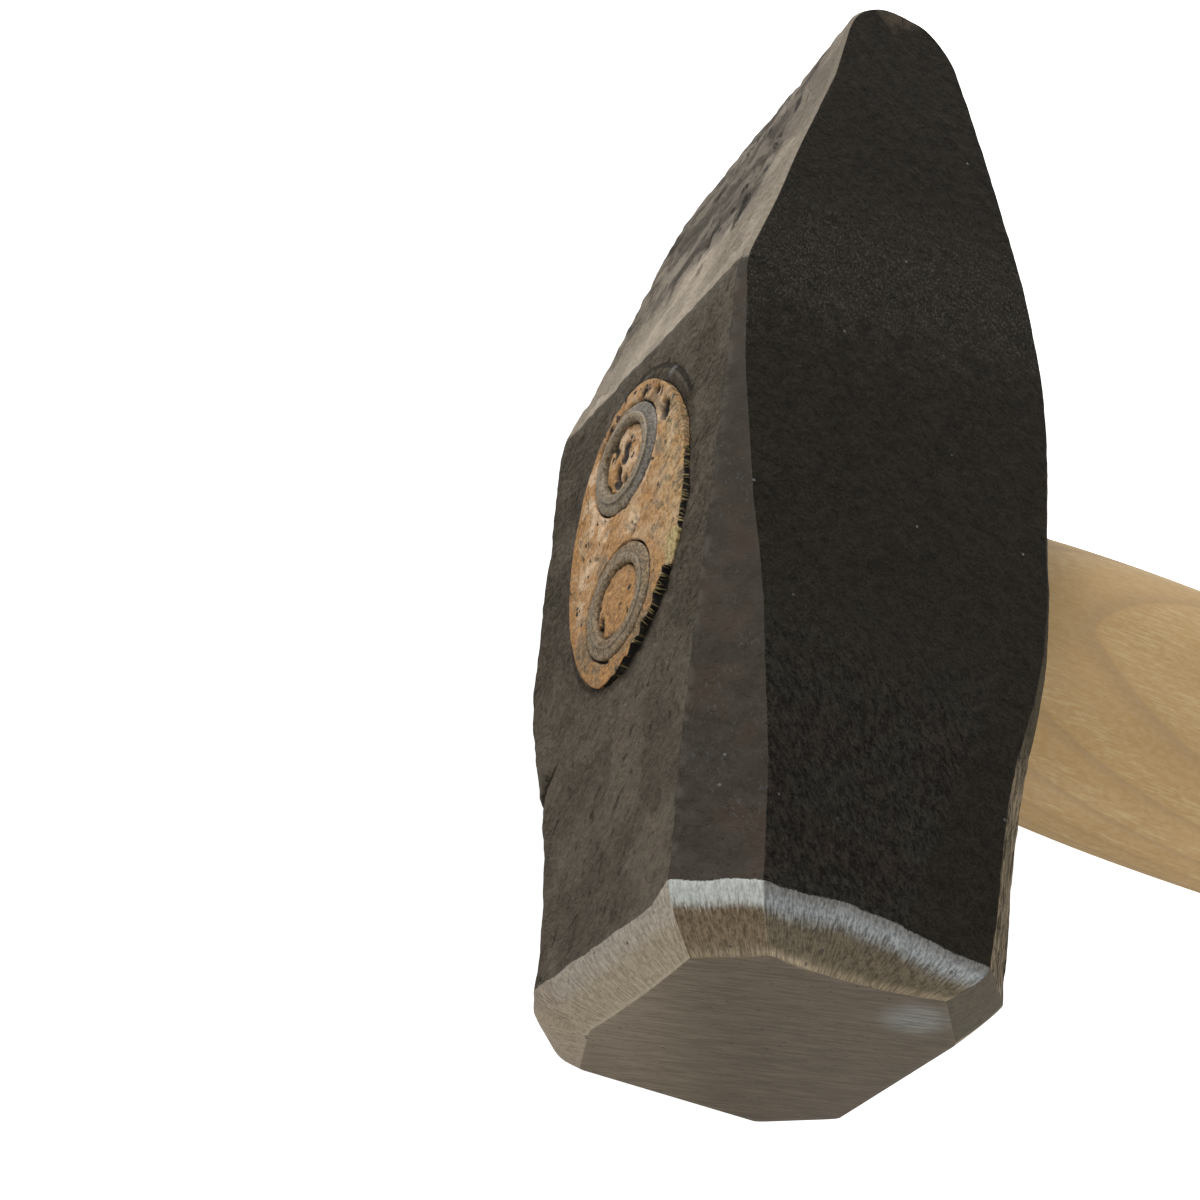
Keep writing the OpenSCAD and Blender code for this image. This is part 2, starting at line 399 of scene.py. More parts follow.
# The groove and the lip beside the eye, as shares of the way out to its wall, and their arc
GROOVE_OUT = 1.115
LIP_OUT = 1.05
GROOVE_MIDDLE = math.radians(26)
GROOVE_HALF = math.radians(42)

# Relief of the forged skin, as (depth, size of its lumps, seed of the noise)
WAVES = [(0.22, 17, 1), (0.06, 5, 2)]
GRIT = [(0.05, 2.1, 5), (0.03, 1.2, 8)]


def nose_touch(crest, side):
    """Point where a line from a crest touches the round nose."""
    centre = np.array([NOSE_OFFSET, HEAD_LENGTH - NOSE_RADIUS])
    run = centre - crest
    far = np.hypot(*run)
    turn = math.atan2(run[1], run[0]) - side * math.asin(NOSE_RADIUS / far)
    line = math.sqrt(far * far - NOSE_RADIUS * NOSE_RADIUS)
    return crest + line * np.array([math.cos(turn), math.sin(turn)])


def side_half(d, side):
    """Height of the head at the distance d, out to the eye side, -1, or the grip side, 1."""
    top = EYE_SIDE_HEIGHT if side < 0 else GRIP_SIDE_HEIGHT
    crest = np.array([side * top, CHEEK_END if side < 0 else GRIP_CREST_AT])
    blend = CREST_BENDS[side]
    touch = nose_touch(crest, side)
    fall = side * (crest[0] - touch[0]) / (touch[1] - crest[1])
    past = d - crest[1]
    rise = np.clip(d - HEAD_LENGTH + NOSE_RADIUS, -NOSE_RADIUS, NOSE_RADIUS)
    poll = mix(POLL_HALF, top, ease((d - BEVEL_DEPTH) / (CHEEK_START - BEVEL_DEPTH)))
    rounded = top - fall * (past + blend) ** 2 / (4 * blend)
    nose = side * NOSE_OFFSET + np.sqrt(np.maximum(NOSE_RADIUS ** 2 - rise ** 2, 0))
    half = np.where(past < -blend, poll, np.where(past < blend, rounded, top - fall * past))
    half = half - sum(bell(d, *hollow) for hollow in HOLLOWS[side])
    return np.where(d > touch[1], nose, half)


def cheek_half(d, up):
    """Width of the head from its middle out to the near cheek, 1, or the far cheek, -1."""
    t = np.clip((d - CHEEK_END) / (HEAD_LENGTH - CHEEK_END), 0, 1)
    radius = NEAR_END_RADIUS if up > 0 else FAR_END_RADIUS
    past = np.clip(d - HEAD_LENGTH + radius, 0, radius)
    round_end = radius - np.sqrt(radius ** 2 - past ** 2)
    poll = mix(POLL_HALF, MIDDLE, ease((d - BEVEL_DEPTH) / (CHEEK_START - BEVEL_DEPTH)))
    if up > 0:
        taper = mix(MIDDLE, NOSE_HALF_UP, t ** 1.6)
    else:
        taper = mix(MIDDLE, NOSE_HALF_DOWN, t) - 4 * FAR_CHEEK_BOW * t * (1 - t)
        taper = taper + FAR_CHEEK_SWAY * np.sin(2 * math.pi * t)
    return np.where(d < CHEEK_START, poll, taper) - round_end


def corner_cut(d, corner, height):
    """Cut of a corner along each face, never more than the face has room for."""
    return np.minimum(along(CORNER_CUTS[corner], d), height * 0.3)


def head_corner(before, after, d):
    """(height, width) of the edge between two faces of the head at the distance d."""
    low = -side_half(d, -1)
    high = side_half(d, 1)
    corner = before if before in CORNER_CUTS else after
    face = after if before in CORNER_CUTS else before
    cut = corner_cut(d, corner, high - low)
    eye_end = corner in (NEAR_EYE, FAR_EYE)
    near = corner in (NEAR_EYE, NEAR_GRIP)
    h = low - along(SLOPE_EDGES[corner], d) if eye_end else high
    w = cheek_half(d, 1) if near else -cheek_half(d, -1)
    if (corner, face) == (NEAR_EYE, NEAR_CHEEK):
        cut = cut + along(NEAR_EYE_WIDENING, d)
    if face in (EYE_SIDE, GRIP_SIDE):
        w = w - cut if near else w + cut
    else:
        h = h + cut if eye_end else h - cut
    return np.stack(np.broadcast_arrays(h, w), axis=-1)


def head_stations():
    """Distances from the bevel's edge to the tip, closer together on the round nose."""
    straight = HEAD_LENGTH - NOSE_RADIUS * 0.75
    body = np.linspace(BEVEL_DEPTH, straight, 206)
    turns = np.linspace(math.asin(0.25), math.pi / 2, 26)[1:]
    nose = HEAD_LENGTH - NOSE_RADIUS * (1 - np.sin(turns))
    return np.concatenate([body, nose])


def ring_layout():
    """For each point round the head: its face and its share of the way across it."""
    faces = []
    shares = []
    for face in range(8):
        steps = np.arange(ACROSS[face]) / ACROSS[face]
        # Points gather towards both edges of a face
        faces += [face] * len(steps)
        shares += list(mix(steps, ease(steps), 0.35))
    return np.array(faces), np.array(shares)


def body_ring(faces, shares, d):
    """(height, width) of each point round the head, each at its own distance d."""
    ring = np.zeros((len(faces), 2))
    for face in range(8):
        mask = faces == face
        first = head_corner((face - 1) % 8, face, d[mask])
        last = head_corner(face, (face + 1) % 8, d[mask])
        ring[mask] = mix(first, last, shares[mask][:, None])
    return ring


def flat_ring(faces, shares):
    """(height, width) of each point on the edge of the flat striking face."""
    ring = np.zeros((len(faces), 2))
    for face in range(8):
        mask = faces == face
        first = np.array(FLAT[((face - 1) % 8, face)])
        last = np.array(FLAT[(face, (face + 1) % 8)])
        share = shares[mask][:, None]
        run = last - first
        inward = np.array([run[1], -run[0]]) / np.hypot(*run)
        bow = 4 * share * (1 - share) * FLAT_BOWS.get(face, 0)
        ring[mask] = mix(first, last, share) + inward * bow
    return ring


def softened(ring, passes):
    """The ring with its corners rounded by averaging neighbours."""
    for _ in range(passes):
        ring = ring / 2 + (np.roll(ring, 1, axis=0) + np.roll(ring, -1, axis=0)) / 4
    return ring


def bevel_reach(flat):
    """Distance from the face at which the ground bevel ends, all round the head."""
    turn = np.arctan2(flat[:, 1], flat[:, 0])
    around = np.stack([np.cos(turn), np.sin(turn), 0 * turn], axis=1) * POLL_HALF
    reach = BEVEL_DEPTH + 0.45 * noise_at(around, 4.5, 3) + 0.5 * noise_at(around, 13, 4)
    degrees = np.degrees(turn)
    up = ease((degrees - CORNER_RISE[0]) / (CORNER_RISE[1] - CORNER_RISE[0]))
    down = ease((CORNER_FALL[1] - degrees) / (CORNER_FALL[1] - CORNER_FALL[0]))
    return reach + CORNER_REACH * up * down + bell(degrees, *BEVEL_REACH)


def head_points():
    """Rings of (height, distance, width) from the middle of the face to the tip."""
    faces, shares = ring_layout()
    flat = softened(flat_ring(faces, shares), 2)
    reach = bevel_reach(flat)
    rim = softened(body_ring(faces, shares, reach), 2)
    rings = []
    from_edge = []
    count = len(faces)
    inward = np.hypot(flat[:, 0], flat[:, 1])
    bulge = np.array([BEVEL_BULGES.get(face, BEVEL_BULGE) for face in faces])
    for t in np.linspace(0, 1, 26)[:-1]:
        rings.append(np.column_stack([flat[:, 0] * t, np.zeros(count), flat[:, 1] * t]))
        from_edge.append(inward * (t - 1))
    for t in np.linspace(0, 1, 13):
        # A full bevel goes out first and then up; 1 + bulge is its slope at the flat
        swell = 1 - (1 - t) ** (1 + bulge)
        at = mix(flat, rim, swell[:, None])
        rings.append(np.column_stack([at[:, 0], reach * t, at[:, 1]]))
        from_edge.append(reach * t)
    for d in head_stations()[1:]:
        shift = (reach - BEVEL_DEPTH) * max(0, 1 - (d - BEVEL_DEPTH) / 16)
        at = softened(body_ring(faces, shares, d + shift), 2)
        rings.append(np.column_stack([at[:, 0], d + shift, at[:, 1]]))
        from_edge.append(d + shift)
    # The last ring lies on one line, so that the two sides meet
    rings[-1][:, 0] = NOSE_OFFSET
    return np.array(rings), np.array(from_edge), reach, faces, flat


def surface_normals(grid):
    """Outward direction at each point of a grid of rings."""
    around = np.roll(grid, -1, axis=1) - np.roll(grid, 1, axis=1)
    onward = np.gradient(grid, axis=0)
    normal = np.cross(around, onward)
    length = np.linalg.norm(normal, axis=2, keepdims=True)
    return normal / np.maximum(length, 1e-9)


def eye_turn(flat):
    """Share of the way out to the eye's wall, 1 on the wall, and the turn round the eye from the peen."""
    length, breadth = EYE_LENGTH / 2, EYE_BREADTH / 2
    y = (flat[:, 1] - EYE_FROM_FACE) / length
    z = flat[:, 2] / breadth
    return np.hypot(y, z), np.arctan2(z, y)


def lap_relief(flat):
    """The forging lap on the eye side: a lip that ends in a short slanting crease."""
    crease = LAP_AT + LAP_SLANT * (flat[:, 2] - LAP_WIDTH_AT)
    past = flat[:, 1] - crease
    reach = ease((LAP_WIDTH_AT + 1.5 - flat[:, 2]) / 3) * ease((flat[:, 2] - LAP_FAR_END) / 4)
    lip = ease(past / 0.5) * np.exp(-np.clip(past, 0, 30) / 7)
    return (bell(past, 0.35, 0, 0.6) - 0.55 * lip) * reach


def forged_relief(points, faces):
    """How far each point lies below the smooth head, from the hammering and the scale."""
    flat = points.reshape(-1, 3)
    d = flat[:, 1]
    side = np.tile(faces, len(points))
    eye_side = (side == EYE_SIDE) | (side == FAR_EYE)
    depth = sum(deep * (1 - noise_at(flat, size, seed)) for deep, size, seed in WAVES)
    grit = sum(deep * noise_at(flat, size, seed) for deep, size, seed in GRIT)
    # The grit is coarser on the eye side, and towards the face on the other sides
    depth += np.where(eye_side, 2.8, 1.4 + ease((55 - d) / 20)) * grit
    slanted = flat + flat[:, [2, 0, 1]] * (0, 0.5, 0.4)
    depth += eye_side * furrows(slanted, (2.2, 8.0, 2.6), 17, 0.5, 0.05, 0.5)
    depth += eye_side * furrows(flat, (1.8, 5.0, 1.8), 6, 0.4, 0.3, 1)
    chips = furrows(flat, (1.0, 7.0, 1.0), 16, 0.8, 0, 0.6)
    depth += (side == NEAR_GRIP) * chips * ease((48 - d) / 10)
    cracks = furrows(flat, (2.0, 9.0, 1.5), 7, 2.2, 0.3, 0.3)
    patchy = ease(0.5 + 1.6 * noise_at(flat, 16, 14))
    depth += (eye_side & (d > CHEEK_END + 3)) * cracks * patchy
    out, turn = eye_turn(flat)
    on_arc = (side == EYE_SIDE) * ease(1 - np.abs(turn - GROOVE_MIDDLE) / GROOVE_HALF)
    depth += on_arc * (bell(out, 0.45, GROOVE_OUT, 0.022) - bell(out, 0.22, LIP_OUT, 0.03))
    depth += eye_side * lap_relief(flat)
    return depth.reshape(points.shape[:2])


def hammer_head():
    grid, from_edge, reach, faces, flat = head_points()
    from_bevel = from_edge - reach
    normals = surface_normals(grid)
    relief = forged_relief(grid, faces) * ease(from_bevel / 3.0)
    # Nothing sinks at the tip's closing line
    relief[-1] = relief[-1].mean()
    normals[-1] = (0, 1, 0)
    grid = grid - normals * relief[:, :, None]
    step = np.hypot(*(flat - np.roll(flat, 1, axis=0)).T)
    onward = np.ones((len(grid), 1))
    past_crest = ease((grid[:, :, 1] - CHEEK_END) / 2)
    # The edge between the eye side and the corner beside it, where the scale is rubbed
    edge_at = np.flatnonzero(faces == NEAR_EYE)[0]
    from_corner = np.linalg.norm(grid - grid[:, edge_at:edge_at + 1], axis=2)
    piece = mesh_from_rings("forged_head", grid - (0, EYE_FROM_FACE, -MIDDLE), {
        "from_edge": from_edge,
        "from_bevel": from_bevel,
        "round": onward * np.cumsum(step),
        "eye_side": onward * np.isin(faces, [EYE_SIDE, FAR_EYE]),
        "corner": onward * (faces == NEAR_EYE),
        "grip_corner": onward * (faces == NEAR_GRIP),
        "near_cheek": onward * (faces == NEAR_CHEEK),
        "edge": ease(1 - from_corner / 1.1),
        "slope": past_crest * np.isin(faces, [EYE_SIDE, FAR_EYE, NEAR_EYE]),
    })
    bore_eye(piece)
    return piece


def in_eye(points):
    """Points given about the middle of the eye, leaned with the handle and lifted to its height."""
    c, s = math.cos(HANDLE_LEAN), math.sin(HANDLE_LEAN)
    points = np.asarray(points, float)
    return np.column_stack([
        c * points[:, 0] - s * points[:, 1],
        s * points[:, 0] + c * points[:, 1],
        points[:, 2] + MIDDLE,
    ])


def eye_half(x):
    """Half length and half breadth of the eye at x along its axis."""
    t = (x + EYE_SIDE_HEIGHT) / (EYE_SIDE_HEIGHT + GRIP_SIDE_HEIGHT)
    return mix(EYE_LENGTH, EYE_THROAT_LENGTH, t) / 2, mix(EYE_BREADTH, EYE_THROAT_BREADTH, t) / 2


def bore_eye(head):
    """Cuts the tapered oval eye through the head."""
    turn = np.linspace(0, 2 * math.pi, 161)[:-1]
    ends = (-EYE_SIDE_HEIGHT - 4, GRIP_SIDE_HEIGHT + 4)
    rings = []
    for share, x in [(0, ends[0])] + [(1, x) for x in np.linspace(*ends, 9)] + [(0, ends[1])]:
        length, breadth = eye_half(x)
        ring = [np.full_like(turn, x), share * length * np.cos(turn), share * breadth * np.sin(turn)]
        rings.append(in_eye(np.column_stack(ring)))
    # The eye's walls carry scale, as far from the ground face as can be
    far = np.full((len(rings), len(turn)), 60.0)
    tool = mesh_from_rings("eye_tool", rings, {"from_edge": far, "from_bevel": far})
    cut = head.modifiers.new("eye", "BOOLEAN")
    cut.object = tool
    cut.operation = "DIFFERENCE"
    cut.solver = "EXACT"
    bake_modifiers(head)
    bpy.data.objects.remove(tool)
    head.data.set_sharp_from_angle(angle=math.radians(50))


def bake_modifiers(piece):
    """Turns what the modifiers make into the piece's own mesh."""
    bpy.context.view_layer.update()
    graph = bpy.context.evaluated_depsgraph_get()
    made = bpy.data.meshes.new_from_object(piece.evaluated_get(graph))
    piece.modifiers.clear()
    old = piece.data
    piece.data = made
    bpy.data.meshes.remove(old)


# Handle

HANDLE_TOP = -EYE_SIDE_HEIGHT - END_GRAIN_PROUD
HANDLE_LENGTH = 400.0
SHOULDER = (80.0, 23.2, 15.5)
WAIST = (225.0, 18.5, 13.5)
GRIP_FROM_END = 42.0
GRIP = (21.5, 15.5)
END_RADIUS = 8.0
THROAT_AT = GRIP_SIDE_HEIGHT + 5

# The eye's end of the wood stands back from the near wall of the eye, and its torn fibres show there.
# The gap is given as (turn round the eye from the peen, distance)
NEAR_GAP = [(70, 0), (82, 0.4), (108, 0.6), (111, 0), (123, 0), (126, 2.6), (160, 2.6), (200, 0)]
GAP_DEPTH = 3.0

# A block of straw-coloured wood stays at the wall, by its turn and half its width
BLOCK_TURN = math.radians(117)
BLOCK_HALF = math.radians(6)

# The wood's bare side shows this far under its edge where it doesn't stand back
PROUD_SIDE = 1.3

# The wood inside each ring is decayed where noise passes this number, the ring towards the peen first
CORE_DECAY = (0.16, 0.5)

# Holes in the end grain, as (along the head, across it, half width, half length, depth)
END_HOLES = [
    (14.1, 9.3, 1.05, 1.6, 1.0),
    (18.8, 6.9, 0.6, 0.7, 0.6),
    (20.8, 3.2, 0.8, 0.6, 0.6),
    (18.6, 0.6, 0.6, 0.5, 0.4),
    (11.2, -3.3, 0.9, 1.2, 0.9),
    (9.0, -1.2, 0.55, 0.9, 0.7),
    (6.8, -4.6, 0.5, 0.8, 0.6),
    (-12.6, -5.4, 0.6, 1.5, 0.8),
]


def grow(name, build, inputs, material):
    """A mesh object made by a node tree that build fills in, from named sizes."""
    tree = bpy.data.node_groups.new(name, "GeometryNodeTree")
    tree.interface.new_socket("Geometry", in_out="OUTPUT", socket_type="NodeSocketGeometry")
    sockets = {}
    for label, value in inputs.items():
        kind = "NodeSocketInt" if isinstance(value, int) else "NodeSocketFloat"
        sockets[label] = tree.interface.new_socket(label, in_out="INPUT", socket_type=kind)
    board = Board(tree)
    group_in = tree.nodes.new("NodeGroupInput")
    sizes = {label: Socket(board, pick(group_in.outputs, label)) for label in inputs}
    whole = board.add("GeometryNodeRealizeInstances", values={"Geometry": build(board, sizes)})
    made = board.add("GeometryNodeSetMaterial", values={"Geometry": whole, "Material": material})
    board.end("NodeGroupOutput", made)
    piece = new_object(name, bpy.data.meshes.new(name))
    growth = piece.modifiers.new("growth", "NODES")
    growth.node_group = tree
    for label, socket in sockets.items():
        growth[socket.identifier] = inputs[label]
    bake_modifiers(piece)
    return piece


def handle_form(b, size):
    """A grid wrapped into the oval handle: end grain, shaft and rounded grip end."""
    grid = b.add("GeometryNodeMeshGrid", values={
        "Size X": 1.0, "Size Y": 1.0, "Vertices X": size["Rings"], "Vertices Y": size["Sides"]}, out="Mesh")
    across, round_it, _ = b.split(b.position())
    u = across + 0.5
    turn = (round_it + 0.5) * (2 * math.pi)
    top = b.ramp(u, 0.0, size["Cap"])
    along = b.ramp(u, size["Cap"], 0.93)
    # Rings lie closer together towards both ends
    shaft = along * along * (3 - along * 2)
    closing = b.ramp(u, 1.0, 0.93)
    x = size["Top"] + size["Length"] * shaft
    half = []
    for number in (1, 2):
        row = [size[f"{place} {number}"] for place in ("Eye", "Throat", "Shoulder", "Waist", "Grip")]
        stops = [size[f"{place} at"] for place in ("Throat", "Shoulder", "Waist", "Grip")]
        value = row[0] + (row[1] - row[0]) * b.ramp(x, size["Top"], stops[0])
        swell = 1 - b.ramp(x, stops[0], stops[1])
        value = value + (row[2] - row[1]) * (1 - swell * swell * swell)
        for before, after, low, high in zip(row[2:], row[3:], stops[1:], stops[2:]):
            value = value + (after - before) * b.band(x, low, high)
        half.append(value)
    end = size["Top"] + size["Length"]
    into = b.ramp(x, end - size["End radius"], end)
    draw = (1 - b.maths("SQRT", b.larger(1 - into * into, 0.0))) * size["End radius"]
    share = top * closing
    y = b.maths("COSINE", turn) * (half[0] - draw) * share
    z = b.maths("SINE", turn) * (half[1] - draw) * share
    return b.merged(b.moved(grid, x, y, z))


def handle(material):
    top_half = eye_half(HANDLE_TOP)
    throat_half = eye_half(THROAT_AT)
    inputs = {
        "Rings": 236, "Sides": 301, "Cap": 0.27, "Top": HANDLE_TOP, "Length": HANDLE_LENGTH,
        "Throat at": THROAT_AT, "Shoulder at": SHOULDER[0], "Waist at": WAIST[0],
        "Grip at": HANDLE_TOP + HANDLE_LENGTH - GRIP_FROM_END, "End radius": END_RADIUS,
    }
    for number in (1, 2):
        inputs[f"Eye {number}"] = top_half[number - 1] - EYE_CLEARANCE
        inputs[f"Throat {number}"] = throat_half[number - 1] - EYE_CLEARANCE
        inputs[f"Shoulder {number}"] = SHOULDER[number]
        inputs[f"Waist {number}"] = WAIST[number]
        inputs[f"Grip {number}"] = GRIP[number - 1]
    piece = grow("ash_handle", handle_form, inputs, material)
    carve_end_grain(piece)
    tidy_mesh(piece.data)
    return piece


def ring_centres():
    """Middle of each ring wedge about the eye, as (along the head, across it)."""
    return [(side * RING_OFFSET + RING_SHIFT, -RING_DROP) for side in (1, -1)]


def near_gap(at):
    """How far the wood stands back from the near wall of the eye, for points in the eye's frame."""
    length, breadth = eye_half(HANDLE_TOP)
    turn = np.degrees(np.arctan2(at[:, 2] / breadth, at[:, 1] / length)) % 360
    out = np.hypot(at[:, 1] / length, at[:, 2] / breadth)
    into = (at[:, 0] - HANDLE_TOP) / GAP_DEPTH
    round_eye = np.radians(turn) * 14
    ragged = 0.9 + 0.3 * noise_at(np.column_stack([round_eye, 0 * turn, 0 * turn]), 1.0, 9)
    return along(NEAR_GAP, turn) * ragged * ease((1 - into) * 2) * ease((out - 0.72) / 0.28)


def carve_end_grain(piece):
    """Roughens the wood in the eye, sinks it round the ring wedges and frees its near edge."""
    mesh = piece.data
    at = points_of(mesh)
    breadth = eye_half(HANDLE_TOP)[1]
    under = at[:, 0] - HANDLE_TOP
    end = under < GAP_DEPTH
    gap = near_gap(at)
    wall = ease((under - PROUD_SIDE * (1 - ease(gap / 0.4))) / 0.03)
    at[end, 1:] *= (1 - gap[end] / breadth)[:, None]

    flat = at[end] * (0, 1, 1)
    drop = 0.10 + 0.10 * noise_at(flat, 3.0, 10) + 0.07 * noise_at(flat, 1.1, 11)
    drop += furrows(flat, 1.7, 12, 0.8, 0.38, 1)
    # Painted shade for the holes, the grooves round the ring wedges and the decayed cores
    hollow_shade = np.zeros(len(flat))
    for y, z, across, along_it, deep in END_HOLES:
        off = np.hypot((flat[:, 1] - y) / along_it, (flat[:, 2] - z) / across)
        hole = ease((1.25 + 0.3 * noise_at(flat, 0.8, 15) - off) / 0.35)
        drop += deep * hole
        hollow_shade = np.maximum(hollow_shade, hole * 0.85)
    for (y, z), decay in zip(ring_centres(), CORE_DECAY):
        off = np.hypot(flat[:, 1] - y, flat[:, 2] - z)
        groove = ease((off - RING_BORE / 2 + 0.35) / 0.2) * ease((RING_OUTER / 2 + 0.3 - off) / 0.2)
        core = ease((RING_BORE / 2 - off) / 0.6)
        holes = furrows(flat, 2.6, 13, 1, decay, 1)
        drop += groove * 1.2 + core * (0.15 + 1.8 * holes)
        hollow_shade = np.maximum(hollow_shade, np.maximum(groove, core * ease(holes / 0.2)))
    at[end, 0] += drop * ease(1 - under[end] / GAP_DEPTH)
    set_points(mesh, in_eye(at))
    dark = np.zeros(len(at))
    dark[end] = hollow_shade * (1 - wall[end])
    add_mark(mesh, "hollow_shade", dark)
    # The wood's bare side, on which the material paints the shade of the gap
    add_mark(mesh, "wall", wall)


# Ring wedges

def ring_form(b, size):
    """A ring with a raised lip round its bore, its outside tapering into the wood."""
    middle = (size["Outer"] + size["Bore"]) * 0.25
    wall = (size["Outer"] - size["Bore"]) * 0.5
    circle = {"Resolution": 144, "Radius": middle * MM}
    path = b.add("GeometryNodeCurvePrimitiveCircle", values=circle, out="Curve")
    oblong = {"Width": wall * MM, "Height": size["Depth"] * MM}
    section = b.add("GeometryNodeCurvePrimitiveQuadrilateral", values=oblong)
    rounding = {"Curve": section, "Count": 4, "Radius": size["Edge"] * MM}
    rounded = b.add("GeometryNodeFilletCurve", {"mode": "POLY"}, rounding)
    profile = b.add("GeometryNodeResampleCurve", values={"Curve": rounded, "Count": 96})
    ring = b.add("GeometryNodeCurveToMesh", values={"Curve": path, "Profile Curve": profile})
    at = b.position()
    x, y, z = b.split(at, 1000)
    out = b.distance(x, y)
    share = (out - size["Bore"] * 0.5) / wall
    depth = size["Depth"] * 0.5 - z
    keep = 1 - b.ramp(depth, 0.0, size["Depth"]) * (1 - size["Driven edge"] / wall)
    spread = (size["Bore"] * 0.5 + share * wall * keep) / out
    struck = b.band(depth, 1.2, 0.0)
    lip = b.band(share, 0.50, 0.38) * size["Lip"] - b.band(share, 0.5, 1.0) * size["Lip"] * 0.5
    fine = b.noise(at, 420.0, 3.0) - 0.5
    coarse = b.noise(at, 110.0, 2.0) - 0.5
    rise = struck * (lip + (fine + coarse) * 0.5 * size["Roughness"])
    return b.merged(b.moved(ring, x * spread, y * spread, z + rise))


def ring_wedge(name, material, centre, lip, rough):
    inputs = {
        "Outer": RING_OUTER, "Bore": RING_BORE, "Depth": RING_DEPTH, "Edge": 0.35,
        "Driven edge": RING_EDGE, "Lip": lip, "Roughness": rough,
    }
    piece = grow(name, ring_form, inputs, material)
    at = points_of(piece.data)
    share = (np.hypot(at[:, 0], at[:, 1]) - RING_BORE / 2) / ((RING_OUTER - RING_BORE) / 2)
    # The ring's axis turns from Z to the handle's way out of the eye
    deep = HANDLE_TOP - RING_PROUD + RING_DEPTH / 2 - at[:, 2]
    turned = np.column_stack([deep, centre[0] + at[:, 1], centre[1] + at[:, 0]])
    set_points(piece.data, in_eye(turned))
    add_mark(piece.data, "from_bore", share)
    tidy_mesh(piece.data)
    return piece


# Torn fibres

def fibre_form(b, size):
    """Short splinters down the near wall of the wood, each with its own lean and length."""
    circle = {"Vertices": size["Count"], "Radius": 1.0}
    rim = b.add("GeometryNodeMeshCircle", {"fill_type": "NONE"}, circle)
    along_rim, up_rim, _ = b.split(b.position())
    rim = b.moved(rim, size["Level"], along_rim * size["Half length"], up_rim * size["Half breadth"])
    _, y, z = b.split(b.position(), 1000)
    from_peen = y / size["Half length"]
    outward = z / size["Half breadth"]
    lean = b.chance(size, 1, 0.02, 0.6)
    aside = b.chance(size, 2, -0.6, 0.6)
    way = b.vector(1.0, from_peen * lean + aside, outward * lean)
    turn = b.add("FunctionNodeAlignRotationToVector", {"axis": "Z"}, {"Vector": way})
    splinter = b.add("GeometryNodeMeshCone", values={
        "Vertices": 5, "Side Segments": 3, "Radius Top": 0.03 * MM, "Radius Bottom": 0.10 * MM,
        "Depth": 1.0 * MM}, out="Mesh")
    facing = b.maths("GREATER_THAN", outward * 0.87 - from_peen * 0.5, 0.72)
    # No splinters on the block, and clumps of them elsewhere
    towards_block = from_peen * math.cos(BLOCK_TURN) + outward * math.sin(BLOCK_TURN)
    free = b.maths("LESS_THAN", towards_block, math.cos(BLOCK_HALF))
    clump = (b.noise(b.position(), size["Clumps"], 2, 0.5) - 0.5) * 6
    shown = facing * free * b.maths("GREATER_THAN", clump + b.chance(size, 3, -0.6, 0.6), -0.1)
    thick = b.chance(size, 4, 0.5, 1.9)
    scale = b.vector(thick, thick, b.chance(size, 5, 0.3, 1.7))
    return b.add("GeometryNodeInstanceOnPoints", values={
        "Points": rim, "Selection": shown, "Instance": splinter, "Rotation": turn, "Scale": scale})


def torn_fibres(material):
    length, breadth = eye_half(HANDLE_TOP)
    inputs = {"Count": 380, "Level": HANDLE_TOP + 0.1, "Half length": length - 0.15,
              "Half breadth": breadth - 0.15, "Clumps": 400.0, "Seed": 7}
    piece = grow("torn_fibres", fibre_form, inputs, material)
    at = points_of(piece.data)
    # The splinters' roots stay on the wood, where it stands back
    roots = np.column_stack([np.full(len(at), HANDLE_TOP), at[:, 1], at[:, 2]])
    at[:, 1:] *= (1 - near_gap(roots) / breadth)[:, None]
    set_points(piece.data, in_eye(at))
    piece.data.update()
    return piece


# Materials

# Turn of the scratches on the flat face, and the middle of the paler patch at its edge, as (x, across)
SCRATCH_TURN = math.radians(25)
PATCH = (10.5, 16.5)

# The near cheek is smooth beyond a slanting line, given by its height at the face and its slant
SMOOTH_FROM = 2.4
SMOOTH_SLANT = 0.29

# Slant of the folds in the eye side's scale
FOLD_TURN = (-0.65, 0, 0)

# Growth rings of the ash: cones about a pith under the handle, which come to a point along its top
GROWTH_RING = 2.9
PITH_DEPTH = 40.0
RING_TAPER = 0.05
RING_PHASE = 1.29
RING_POINT = 0.06


def new_material(name, colour):
    material = bpy.data.materials.new(name)
    material.use_nodes = True
    material.diffuse_color = (*colour, 1)
    material.node_tree.nodes.clear()
    return material, Board(material.node_tree)


def surface(b, color, roughness, normal, metallic, specular):
    """The shader with its finish, joined to the output."""
    b.end("ShaderNodeOutputMaterial", b.add("ShaderNodeBsdfPrincipled", values={
        "Base Color": color, "Roughness": roughness, "Metallic": metallic,
        "Specular IOR Level": specular, "Normal": normal}))


